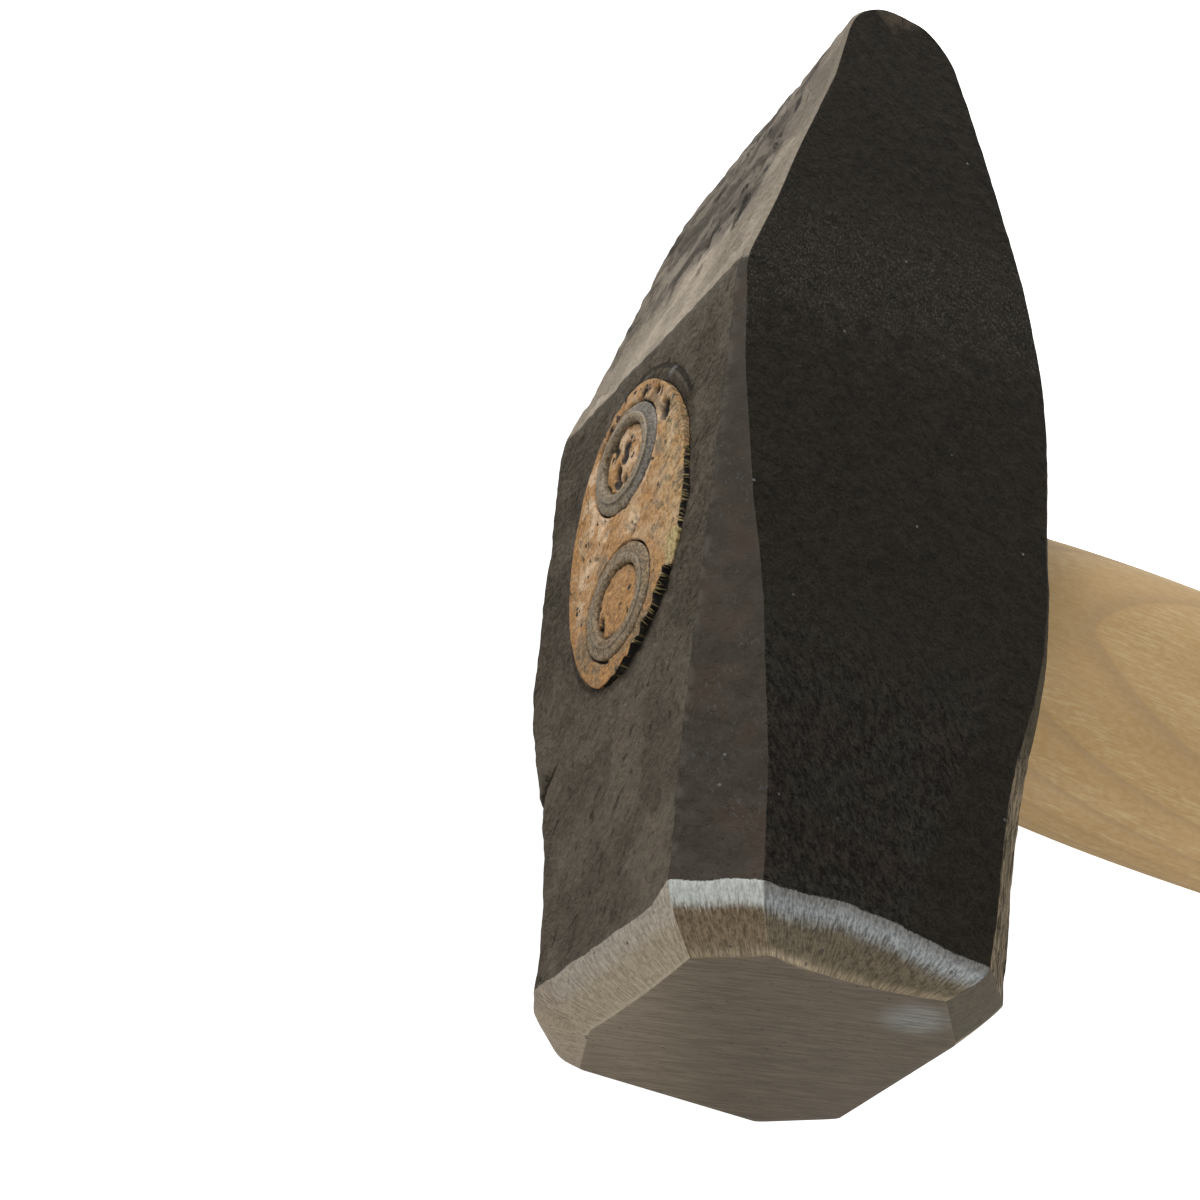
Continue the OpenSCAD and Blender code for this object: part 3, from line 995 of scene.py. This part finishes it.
def forged_steel():
    """Black forge scale on the head, and bright ground steel on the face and its bevel."""
    material, b = new_material("forged_steel", (0.05, 0.05, 0.05))
    fine = b.grain(2.2, 4, 0.7)
    mid = b.grain(0.4, 4, 0.55)
    skin = b.grain(1.05, 6, 0.68, 0.5, (0.8, 0.8, 1))
    from_edge = b.mark("from_edge")
    from_bevel = b.mark("from_bevel")
    eye_side = b.band(b.mark("eye_side"), 0.2, 0.8)
    scale = b.band(from_bevel + (fine - 0.5) * 0.7 + (mid - 0.5) * 0.5, -0.1, 0.1)
    lines = grind_lines(b, from_edge)
    ground = ground_colour(b, from_edge, from_bevel, lines, fine)
    color = b.blend(scale, ground, scale_colour(b, fine, mid, skin, eye_side))
    rough_scale = 0.52 + (fine - 0.5) * 0.4
    rough_ground = 0.46 + (lines - 0.5) * 0.3
    roughness = rough_ground + (rough_scale - rough_ground) * scale
    metallic = (1 - scale) * (0.9 - b.band(from_edge, -0.05, 0.05) * 0.3)
    height = scale_height(b, fine, mid, skin, eye_side) * scale + lines * (1 - scale) * 0.06
    surface(b, color, roughness, b.bump(height, 1.0, 0.0003), metallic, 0.04)
    return material


def scale_height(b, fine, mid, skin, eye_side):
    """Fine relief of the scale; every part is about 0, so that no step shows between two finishes."""
    pits = b.band(b.grain(1.1, 3, 0.6), 0.6, 0.68)
    dents = b.grain(0.7, 3, 0.6, 0, (1, 1.4, 1)) - 0.5
    x, y, _ = b.split(b.place())
    d = y + EYE_FROM_FACE
    drift = (mid - 0.5) * 30
    gritty = 1.1 + b.band(d + drift, 48, 30) * 2 * (1 - smooth_cheek(b, x, d, drift))
    smooth_strip = b.band(b.mark("corner"), 0.35, 0.65) * 0.88
    hammered = ((fine - 0.5) * 0.6 + dents * 2.8 - pits * 1.2) * gritty
    folds = (folded(b) - 0.5) * 4.2 + (crisp(b) - 0.5) * 3
    leathery = ((skin - 0.5) * 2.8 + dents * 1.4 + folds) * rough_area(b)
    return hammered * (1 - eye_side) * (1 - smooth_strip) + leathery * eye_side


def folded(b):
    """The slanting folds of the scale on the eye side."""
    return b.grain(1, 6, 0.64, 1, (1.3, 3.4, 1.3), FOLD_TURN)


def crisp(b):
    """Small sharp lumps among the folds."""
    return b.grain(1, 5, 0.72, 0, (0.55, 0.85, 0.6), FOLD_TURN)


def rough_area(b):
    """How rough the eye side's scale is, from place to place."""
    return 0.55 + b.band(b.grain(0.1, 2, 0.5, 0, turn=FOLD_TURN), 0.42, 0.56) * 0.65


def smooth_cheek(b, x, d, drift):
    """1 where the near cheek is smooth, towards the grip side."""
    past = x - d * SMOOTH_SLANT - SMOOTH_FROM + drift * 0.12
    return b.band(past, -1.5, 1.5)


def grind_lines(b, from_edge):
    """Lines that run across the bevel, and long fine scratches over the flat face."""
    across = b.noise(b.vector(b.mark("round") * 4, from_edge * 0.7, 0), 1, 4, 0.7)
    scratches = b.grain(1, 5, 0.8, 0, (5, 5, 0.28), (0, SCRATCH_TURN, 0))
    return scratches + (across - scratches) * b.band(from_edge, -0.05, 0.05)


def ground_colour(b, from_edge, from_bevel, lines, fine):
    """Grey steel on the flat face; on the bevel a bright brow, an olive band and a tan foot, painted as the
    reflections that run across its curve.
    """
    uneven = (lines - 0.5) * 1.8
    speckled = lines * 0.65 + fine * 0.35
    near = b.band(b.mark("near_cheek"), 0.3, 0.7)
    corner = b.band(b.mark("corner"), 0.3, 0.7)
    x, _, z = b.split(b.place())
    w = z - MIDDLE
    # The flat is paler towards the eye side's far corner
    pale_flat = b.two(lines, (0.178, 0.143, 0.1), (0.27, 0.22, 0.16))
    dust = b.band(b.grain(1.5, 2, 0.5, 0, (1.2, 1, 0.6)), 0.68, 0.73)
    patch = b.band(b.distance(x - PATCH[0], w - PATCH[1]) + uneven * 1.5, 5.6, 1.4)
    flat = b.over(
        b.two(lines, (0.104, 0.083, 0.057), (0.17, 0.138, 0.099)),
        (b.band(x * 0.8 + w * 0.6, -2, -19), pale_flat),
        (dust * 0.7, (0.045, 0.038, 0.03)),
        (patch * 0.85, b.two(lines, (0.15, 0.145, 0.13), (0.31, 0.305, 0.28))),
    )
    # Painted reflections across the bevel: its middle dark olive, rosy on the corner beside the eye side
    olive_reflection = b.two(speckled, (0.06, 0.05, 0.034), (0.14, 0.115, 0.077))
    rosy_reflection = b.two(speckled, (0.09, 0.067, 0.042), (0.215, 0.158, 0.102))
    # The brow under the scale is a bright painted reflection, brighter on that corner and towards the eye
    # side
    brow_reflection = b.two(speckled, (0.105, 0.11, 0.111), (0.27, 0.282, 0.28))
    bright_brow_reflection = b.two(speckled, (0.31, 0.32, 0.298), (0.49, 0.508, 0.476))
    brighter_reflection = b.larger(corner, b.band(x, -13, -20) * 0.5)
    under_scale = b.two(speckled, (0.06, 0.055, 0.049), (0.14, 0.133, 0.122))
    browed = b.over(
        b.two(lines, (0.12, 0.094, 0.061), (0.25, 0.202, 0.138)),
        (b.band(from_edge + uneven * 0.6, 0.3, 1.2), b.blend(corner * 0.8, olive_reflection, rosy_reflection)),
        (b.band(from_bevel + uneven * 1.3, -3.9 + corner * 0.6, -1.9), b.blend(brighter_reflection, brow_reflection, bright_brow_reflection)),
        (b.band(from_bevel + uneven * 0.8, -1.9, -0.3) * near * 0.8, under_scale),
    )
    # The foot by the flat is a tan painted reflection
    tan_foot_reflection = b.two(speckled, (0.225, 0.18, 0.115), (0.39, 0.325, 0.222))
    brown = b.two(speckled, (0.22, 0.17, 0.12), (0.4, 0.33, 0.25))
    tan = b.over(
        b.two(speckled, (0.26, 0.224, 0.18), (0.45, 0.4, 0.328)),
        (b.band(from_edge + uneven, 3.8, 2.2) * 0.75, tan_foot_reflection),
        # A thin painted highlight along the edge of the flat
        (b.band(from_edge + uneven * 0.2, 0.25, 0.16) * 0.15, (0.6, 0.55, 0.45)),
        (b.band(w, -10, -14) * 0.6, brown),
    )
    grip = b.two(speckled, (0.066, 0.054, 0.035), (0.112, 0.094, 0.064))
    pocks = b.band(b.grain(0.9, 2, 0.5, 0, (1, 1.4, 1)), 0.7, 0.74)
    bevel = b.over(
        tan,
        (b.larger(near, corner), browed),
        (b.band(b.mark("grip_corner"), 0.3, 0.7), grip),
        (pocks * 0.75, (0.05, 0.045, 0.04)),
    )
    return b.blend(b.band(from_edge, -0.06, 0.06), flat, bevel)


def scale_colour(b, fine, mid, skin, eye_side):
    """Near black on the cheeks, brown-grey on the eye side and paler on the peen's slope."""
    x, y, z = b.split(b.place())
    w = z - MIDDLE
    d = y + EYE_FROM_FACE
    drift = (mid - 0.5) * 30
    narrow_corner = b.mark("corner")
    on_strip = b.band(narrow_corner, 0.35, 0.65) * b.band(d, 104, 96)
    past_crest = b.band(b.mark("slope") + (fine - 0.5) * 0.6 + (mid - 0.5) * 0.5, 0.25, 0.8)
    # The corner between the slope and the near cheek is duller than the slope
    dull = b.band(narrow_corner, 0.2, 0.6) * past_crest
    patchy = b.band(mid + (fine - 0.5) * 0.3, 0.42, 0.6) * b.band(b.mark("from_bevel"), 2, 5)
    grip_corner = b.band(b.mark("grip_corner"), 0.35, 0.65)
    rubbed = grip_corner * b.band(d + drift * 0.5, 40, 30)
    chips = b.grain(1, 5, 0.72, 0, (0.7, 6, 0.7))
    voronoi = {"Vector": b.place(), "Scale": 0.16}
    flecks = b.band(b.add("ShaderNodeTexVoronoi", values=voronoi, out="Distance"), 0.045, 0.02)
    return b.over(
        cheek_colour(b, x, d, fine, mid, drift),
        (eye_side, eye_side_colour(b, y, w, skin, fine)),
        (on_strip, strip_colour(b, fine, mid)),
        (past_crest, slope_colour(b, d, w, skin, mid)),
        (dull * 0.55, (0.085, 0.071, 0.055)),
        (b.mark("edge") * patchy * 0.4 * (1 - past_crest), (0.125, 0.11, 0.087)),
        (grip_corner * b.band(d + drift * 0.4, 60, 48), (0.058, 0.049, 0.032)),
        (rubbed * b.band(chips, 0.42, 0.58), (0.25, 0.2, 0.135)),
        (grip_corner * b.band(chips, 0.42, 0.34) * b.band(d, 48, 44) * 0.8, (0.018, 0.015, 0.012)),
        (flecks * 0.4, (0.3, 0.3, 0.3)),
    )


def strip_colour(b, fine, mid):
    """Smooth brown scale with cool specks, on the corner beside the eye side."""
    rusty = b.band(b.grain(0.16, 3, 0.6), 0.48, 0.62)
    specks = b.band(b.grain(1.8, 2, 0.6, 0, (0.6, 1.2, 0.6)), 0.6, 0.68)
    speckled = b.band(b.grain(0.13, 2, 0.5), 0.42, 0.55)
    return b.over(
        b.two(fine * 0.4 + mid * 0.6, (0.045, 0.038, 0.0295), (0.058, 0.0495, 0.039)),
        (rusty * 0.5, (0.07, 0.05, 0.035)),
        (specks * speckled * 0.4, (0.105, 0.115, 0.125)),
    )


def cheek_colour(b, x, d, fine, mid, drift):
    """Near-black scale with painted glints, gritty towards the face and dusty across the foot of the peen,
    where the painted glints are thicker.
    """
    # Painted glints: specks of light off the rough scale
    glint = b.band(b.grain(1.8, 3, 0.75, 0, (0.45, 0.9, 0.45)), 0.5, 0.64)
    streak = b.band(b.grain(1, 4, 0.75, 0.8, (0.45, 1.5, 0.45)), 0.54, 0.66)
    lumps = b.grain(1, 5, 0.72, 0.3, (0.6, 1.6, 0.6), (0, 0, -0.5))
    patches = b.band(b.grain(0.11, 4, 0.6), 0.42, 0.58)
    ruddy = b.two(lumps, (0.0095, 0.007, 0.0053), (0.034, 0.0258, 0.02))
    greenish = b.two(lumps, (0.0082, 0.0076, 0.0053), (0.03, 0.0283, 0.0212))
    low = b.band(d + drift, 52, 30) * (1 - smooth_cheek(b, x, d, drift))
    rim = d + drift - x * 0.25
    dust_and_glints = b.band(rim, 86, 101) * b.band(rim, 122, 104)
    tip = b.band(d + (mid - 0.5) * 5 - b.size_of(x + 0.5) * 0.6, 153, 155.5)
    return b.over(
        b.two(fine * 0.75 + mid * 0.25, (0.0088, 0.0071, 0.0046), (0.0212, 0.0174, 0.0118)),
        (low, b.blend(patches, ruddy, greenish)),
        # Painted glints, thicker in the dusty band and a little on the gritty part
        (glint * (0.08 + dust_and_glints * 0.6 + low * 0.05), (0.085, 0.078, 0.064)),
        (streak * low * 0.4, (0.066, 0.06, 0.048)),
        (tip * 0.8, (0.066, 0.052, 0.036)),
        (dust_and_glints * 0.08, (0.028, 0.024, 0.019)),
    )


def eye_side_colour(b, y, w, skin, fine):
    """Brown-grey leathery scale with dark crevices, the forging lap and the lip round the eye; the dark
    folds and crevices are painted shade, the paler sharp lumps painted highlights.
    """
    worn = b.band(b.grain(0.12, 3, 0.6), 0.35, 0.65)
    sharp = crisp(b)
    rough = rough_area(b)
    # Crevices darkened as painted shade
    crevice_shade = b.band(b.grain(0.8, 5, 0.65, 0.8, (0.9, 2.2, 0.8), FOLD_TURN), 0.58, 0.65)
    uneven = (fine - 0.5) * 0.9
    from_crease = b.size_of(y + EYE_FROM_FACE - LAP_AT - (w - LAP_WIDTH_AT) * LAP_SLANT + uneven)
    crease = b.band(from_crease, 0.55, 0.15) * b.band(w, LAP_WIDTH_AT + 2.5, LAP_WIDTH_AT + 1)
    out = eye_out(b, y, w) + uneven * 0.03
    towards_peen = b.band(y - b.size_of(w - 4) * 0.8, 2, 8)
    groove = b.band(b.size_of(out - GROOVE_OUT), 0.034, 0.014) * towards_peen
    rusty_rim = b.band(out + (fine - 0.5) * 0.06, 1.065, 1.02) * b.band(y, -12, -19)
    lip = b.band(out, 1.085, LIP_OUT) * towards_peen
    # A pale chip in the scale by the eye, its colour a painted highlight
    chip_highlight = b.band(b.distance(y - 20.6, (w - 8.6) * 0.6) + uneven * 2.5, 1.1, 0.4)
    return b.over(
        b.two(skin, (0.092, 0.075, 0.053), (0.168, 0.138, 0.101)),
        (b.band(y, -12, -48) * 0.4, (0.2, 0.167, 0.126)),
        (worn * 0.3, (0.088, 0.074, 0.056)),
        # Painted shade in the folds and between the sharp lumps, a painted highlight on the lumps, painted
        # shade in the crevices
        (b.band(folded(b), 0.44, 0.36) * 0.45, (0.04, 0.033, 0.024)),
        (b.band(sharp, 0.43, 0.36) * rough * 0.5, (0.042, 0.035, 0.026)),
        (b.band(sharp, 0.56, 0.64) * rough * 0.4, (0.185, 0.155, 0.117)),
        (crevice_shade * 0.7, (0.026, 0.022, 0.016)),
        (crease * 0.7, (0.012, 0.01, 0.008)),
        (groove * 0.75, (0.014, 0.011, 0.009)),
        (rusty_rim * 0.7, (0.03, 0.019, 0.012)),
        (lip * 0.5, (0.03, 0.025, 0.019)),
        # The chip's painted highlight
        (chip_highlight * b.band(fine, 0.45, 0.55), (0.22, 0.22, 0.215)),
    )


def eye_out(b, y, w):
    """Share of the way from the middle of the eye to its wall."""
    return b.distance((y + EYE_SHIFT) / (EYE_LENGTH / 2), w / (EYE_BREADTH / 2))


def slope_colour(b, d, w, skin, mid):
    """Tan scale along the crest and the near edge of the slope, rubbed and lightened by a painted sheen;
    dark blotches on the rest.
    """
    drift = (mid - 0.5) * 8
    blotches = b.grain(0.33, 4, 0.55, 0.4, (1, 1.8, 1.8))
    dark = b.blend(b.band(blotches, 0.38, 0.6), (0.086, 0.072, 0.056), (0.3, 0.256, 0.202))
    dark = b.blend(b.band(skin, 0.46, 0.38) * 0.4, dark, (0.09, 0.076, 0.059))
    # The tan band along the crest is broader towards the near side
    from_crest = d - w * 0.1 + drift
    far = b.band(from_crest, 111, 117) * b.band(w + drift * 0.4, 20, 14)
    cracks = b.band(b.grain(0.5, 4, 0.6, 0, (1, 6.5, 1.1)), 0.555, 0.6)
    beside = b.band(from_crest, 108, 112) * b.band(w + drift, 19, 14) * (0.4 + b.band(w, -6, 4) * 0.6)
    return b.over(
        # The tan is partly a painted sheen of grazing light, paler towards the near side and darker towards
        # the tip
        b.two(skin, (0.345, 0.289, 0.218), (0.465, 0.395, 0.307)),
        (b.band(w, 13, 3), b.two(skin, (0.42, 0.355, 0.272), (0.56, 0.478, 0.375))),
        (b.band(d + drift, 112, 142) * 0.52, (0.16, 0.134, 0.103)),
        (far * 0.9, dark),
        (cracks * beside * 0.8, (0.022, 0.018, 0.014)),
    )


def ash_wood():
    """Pale ash: growth rings and vessel flecks along the handle, stained end grain in the eye."""
    material, b = new_material("ash_wood", (0.5, 0.36, 0.2))
    x, y, z = b.split(b.place())
    sway = b.grain(1, 3, 0.5, 0, (70, 45, 45)) - 0.5
    aside = y - x * math.tan(HANDLE_LEAN)
    from_pith = b.distance(aside, z - MIDDLE + PITH_DEPTH) + x * RING_TAPER + sway * 1.2
    pointed = from_pith - b.size_of(aside) * RING_POINT
    ring = b.maths("FRACT", (pointed + RING_PHASE) / GROWTH_RING)
    late = b.band(ring, 0.72, 0.97) * b.band(ring, 1, 0.97)
    early = b.band(ring, 0, 0.06) * b.band(ring, 0.62, 0.25)
    flecks = b.grain(1, 3, 0.65, 0.2, (4.2, 0.32, 0.32))
    fine = b.grain(1, 3, 0.7, 0, (1.6, 0.22, 0.22))
    cloud = b.band(b.grain(1, 3, 0.55, 0, (26, 8, 8)), 0.35, 0.7)
    mottle = b.band(b.grain(1, 3, 0.6, 0, (1.3, 0.7, 0.7)), 0.4, 0.62)
    pores = b.band(flecks, 0.5, 0.62) * (0.22 + early * 0.6)
    end = b.band(x, HANDLE_TOP + 4, HANDLE_TOP + 3)
    color = b.over(
        b.blend(cloud, (0.425, 0.266, 0.106), (0.374, 0.231, 0.086)),
        (mottle * 0.5, (0.455, 0.312, 0.15)),
        (b.band(fine, 0.55, 0.68) * 0.35, (0.3, 0.186, 0.07)),
        (pores * 0.5, (0.55, 0.45, 0.23)),
        (late * 0.32, (0.25, 0.165, 0.09)),
        (end, end_grain_colour(b)),
    )
    height = (flecks * 0.5 + fine * 0.4) * (1 - end) + b.grain(1.4, 4, 0.65) * end * 1.6
    surface(b, color, 0.52 + end * 0.24, b.bump(height, 0.35, 0.0002), 0, 0.36)
    return material


def end_grain_colour(b):
    """Tan end grain with orange stains and dark holes, painted shade in its carved holes and grooves, and
    towards the near side a dark wall, painted shade in the gap there.
    """
    _, y, z = b.split(b.place())
    w = z - MIDDLE
    speck = b.grain(1.6, 5, 0.75)
    stain = b.grain(0.24, 5, 0.68, 0.5)
    strands = b.grain(1, 4, 0.7, 0, (5, 0.6, 0.6))
    rust = b.two(speck, (0.245, 0.118, 0.037), (0.46, 0.24, 0.08))
    pale = b.band(b.grain(0.16, 3, 0.6, 0, (1, 1.6, 1)), 0.5, 0.58)
    low = b.band(y + (stain - 0.5) * 30, -6, -17)
    from_face_ring = b.distance(y + RING_OFFSET - RING_SHIFT, w + RING_DROP)
    core = b.band(from_face_ring, RING_BORE / 2 + 0.5, RING_BORE / 2 - 0.5)
    out = eye_out(b, y, w)
    grimy = b.band(b.grain(0.26, 6, 0.72, 1.2) + b.band(w, 1, 9) * 0.05, 0.54, 0.63)
    holes = b.band(b.grain(0.8, 4, 0.6, 0, (0.8, 1.5, 1.1)) + b.band(y, 2, 20) * 0.05, 0.62, 0.66)
    straw = b.band(w + (stain - 0.5) * 12, 7.5, 10.5) * b.band(y, -14, -4)
    bars = b.band(b.grain(1, 4, 0.65, 0, (3, 0.5, 2.6)), 0.5, 0.57) * b.band(w, 3, 8)
    beside = b.size_of(y - math.cos(BLOCK_TURN) * EYE_LENGTH / 2 + (speck - 0.5))
    block = b.band(beside, 2.7, 2.2) * b.band(w + (speck - 0.5), 10.6, 11.4)
    # The bare side in the gap: painted shade, with paler fibres
    wall = b.blend(b.band(strands, 0.56, 0.63) * 0.8, (0.012, 0.01, 0.007), (0.28, 0.215, 0.09))
    return b.over(
        b.two(speck, (0.36, 0.222, 0.106), (0.49, 0.322, 0.174)),
        (pale * 0.8, b.two(speck, (0.51, 0.355, 0.215), (0.68, 0.5, 0.325))),
        (low * 0.95, b.two(speck, (0.105, 0.066, 0.03), (0.265, 0.175, 0.088))),
        (b.band(stain + core * 0.09, 0.45, 0.54) * 0.85, rust),
        (b.band(out + (stain - 0.5) * 0.5, 0.85, 0.99) * 0.7, rust),
        (grimy * 0.7, (0.12, 0.092, 0.058)),
        (holes, (0.025, 0.017, 0.01)),
        (straw * b.band(speck, 0.44, 0.56) * 0.4, (0.52, 0.39, 0.19)),
        (bars * b.band(out, 0.82, 0.95) * 0.6, (0.05, 0.04, 0.022)),
        (block * 0.9, b.two(strands, (0.19, 0.135, 0.05), (0.52, 0.41, 0.185))),
        # Painted shade in the carved holes and grooves
        (b.band(b.mark("hollow_shade"), 0, 0.7), (0.02, 0.014, 0.009)),
        (b.band(b.mark("wall"), 0.3, 0.7), wall),
    )


def wedge_steel():
    """Rusty ring wedge steel, browner on the wedge nearer the face, with a painted highlight on the lip
    round the bore.
    """
    material, b = new_material("wedge_steel", (0.2, 0.16, 0.12))
    rust = b.grain(0.7, 5, 0.7, 0.5)
    fine = b.grain(2.2, 4, 0.7)
    _, y, z = b.split(b.place())
    from_bore = b.mark("from_bore")
    towards_face = b.band(y, 3, -1)
    # The wedge nearer the peen has a darker, cooler outer band where it faces the near cheek
    outer = b.band(from_bore + (rust - 0.5) * 0.3, 0.44, 0.52) * (1 - towards_face)
    cool = outer * b.band(z - MIDDLE + (rust - 0.5) * 10, -3, 4)
    # The lip round the bore, lit by a painted highlight
    lip = b.band(from_bore, 0.3, 0.4) * b.band(from_bore, 0.46, 0.42)
    # A darker ring at the foot of the lip
    lip_foot_dark = b.band(from_bore, 0.42, 0.46) * b.band(from_bore, 0.56, 0.5)
    brown = b.two(fine, (0.096, 0.066, 0.034), (0.285, 0.2, 0.11))
    color = b.over(
        b.two(fine, (0.135, 0.106, 0.068), (0.3, 0.238, 0.158)),
        (b.band(rust + towards_face * 0.14, 0.52, 0.66), brown),
        (cool * 0.65, b.two(fine, (0.05, 0.049, 0.046), (0.165, 0.165, 0.16))),
        # Painted highlight on the lip
        (lip * (0.7 - towards_face * 0.4), (0.34, 0.285, 0.21)),
        (lip_foot_dark * 0.5, (0.03, 0.022, 0.014)),
    )
    surface(b, color, 0.55 + (rust - 0.5) * 0.4, b.bump(rust + fine * 0.6, 0.7, 0.0002), 0.15, 0.3)
    return material


def torn_fibre():
    """Straw-coloured wood fibre."""
    material, b = new_material("torn_fibre", (0.5, 0.4, 0.2))
    tint = b.grain(0.8, 2, 0.5)
    color = b.blend(b.band(tint, 0.35, 0.65), (0.15, 0.105, 0.045), (0.42, 0.33, 0.15))
    surface(b, color, 0.7, b.bump(tint, 0.3, 0.0001), 0, 0.3)
    return material


def floor_white():
    """Pale floor, white to the camera with the hammer's soft shadow left on it."""
    material, b = new_material("floor_white", (0.9, 0.9, 0.9))
    seen = b.add("ShaderNodeLightPath", out="Is Camera Ray")
    plain = b.add("ShaderNodeBsdfDiffuse", values={"Color": (0.9, 0.9, 0.9)})
    glow = b.add("ShaderNodeEmission", values={"Color": (1, 1, 1), "Strength": FLOOR_GLOW})
    both = b.add("ShaderNodeAddShader", values={0: plain, 1: glow})
    b.end("ShaderNodeOutputMaterial", b.add("ShaderNodeMixShader", values={0: seen, 1: plain, 2: both}))
    return material


def wear(piece, material):
    piece.data.materials.clear()
    piece.data.materials.append(material)


# Studio

CAMERA_AT = Vector((-150.34, -202.82, 275.10)) * MM
LOOKED_AT = Vector((-40.23, -32.39, 50.80)) * MM
CAMERA_ROLL = math.radians(46.72)
CAMERA_LENS = 78.875

# Light from all round on plain surfaces; what mirrors and the camera see is white
WORLD_LEVEL = 0.55
FLOOR_GLOW = 0.80
FLOOR_HALF = 3.0

# Soft lamps by name, as (direction, distance, size, power)
LAMPS = {
    "overhead": ((0.41, 0.09, 0.89), 0.9, 0.45, 1.1),
    "peen_side": ((-0.48, 0.80, 0.35), 0.9, 0.35, 5.5),
    "face_side": ((0.25, -0.95, 0.10), 0.9, 0.6, 3.8),
}


def camera():
    data = bpy.data.cameras.new("camera")
    data.lens = CAMERA_LENS
    data.clip_start = 0.01
    view = new_object("camera", data)
    view.location = CAMERA_AT
    view.rotation_mode = "QUATERNION"
    turn = (LOOKED_AT - CAMERA_AT).to_track_quat("-Z", "Y")
    view.rotation_quaternion = turn @ Quaternion((0, 0, 1), CAMERA_ROLL)
    bpy.context.scene.camera = view


def floor():
    mesh = bpy.data.meshes.new("floor")
    corners = [(x * FLOOR_HALF, y * FLOOR_HALF, 0) for x, y in ((-1, -1), (1, -1), (1, 1), (-1, 1))]
    mesh.from_pydata(corners, [], [(0, 1, 2, 3)])
    plane = new_object("floor", mesh)
    wear(plane, floor_white())


def lamp(name, towards, distance, size, power):
    """A square soft lamp that shines at the head from the direction given."""
    data = bpy.data.lights.new(name, "AREA")
    data.shape = "SQUARE"
    data.size = size
    data.energy = power
    light = new_object(name, data)
    direction = Vector(towards).normalized()
    light.location = direction * distance + Vector((0, 0, MIDDLE * MM))
    light.rotation_mode = "QUATERNION"
    light.rotation_quaternion = direction.to_track_quat("Z", "Y")


def world():
    studio_world = bpy.data.worlds.new("studio")
    studio_world.use_nodes = True
    studio_world.node_tree.nodes.clear()
    b = Board(studio_world.node_tree)
    path = b.tree.nodes.new("ShaderNodeLightPath")
    kinds = ("Is Camera Ray", "Is Glossy Ray", "Is Transmission Ray")
    seen, mirrored, through = (Socket(b, path.outputs[kind]) for kind in kinds)
    shown = b.maths("ADD", seen + mirrored, through, clamp=True)
    strength = WORLD_LEVEL + shown * (1 - WORLD_LEVEL)
    sky = b.add("ShaderNodeBackground", values={"Color": (1, 1, 1), "Strength": strength})
    b.end("ShaderNodeOutputWorld", sky)
    bpy.context.scene.world = studio_world


def studio():
    camera()
    floor()
    world()
    for name, settings in LAMPS.items():
        lamp(name, *settings)
    bpy.context.scene.view_settings.view_transform = "Standard"


def finish_piece(piece, material, slot, *nodes):
    wear(piece, material)
    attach(piece, "root")
    if nodes:
        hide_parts(*nodes)


studio()
steel = forged_steel()
wood = ash_wood()
rust = wedge_steel()
finish_piece(hammer_head(), steel, "forged_steel", "hammer_head")
finish_piece(handle(wood), wood, "ash_wood", "handle")
peen_ring, face_ring = ring_centres()
finish_piece(ring_wedge("peen_ring", rust, peen_ring, 0.4, 0.25), rust, "wedge_steel", "ring_wedge_peen")
straw = torn_fibre()
finish_piece(torn_fibres(straw), straw, "ash_wood")
finish_piece(ring_wedge("face_ring", rust, face_ring, 0.15, 0.45), rust, "wedge_steel", "ring_wedge_face")
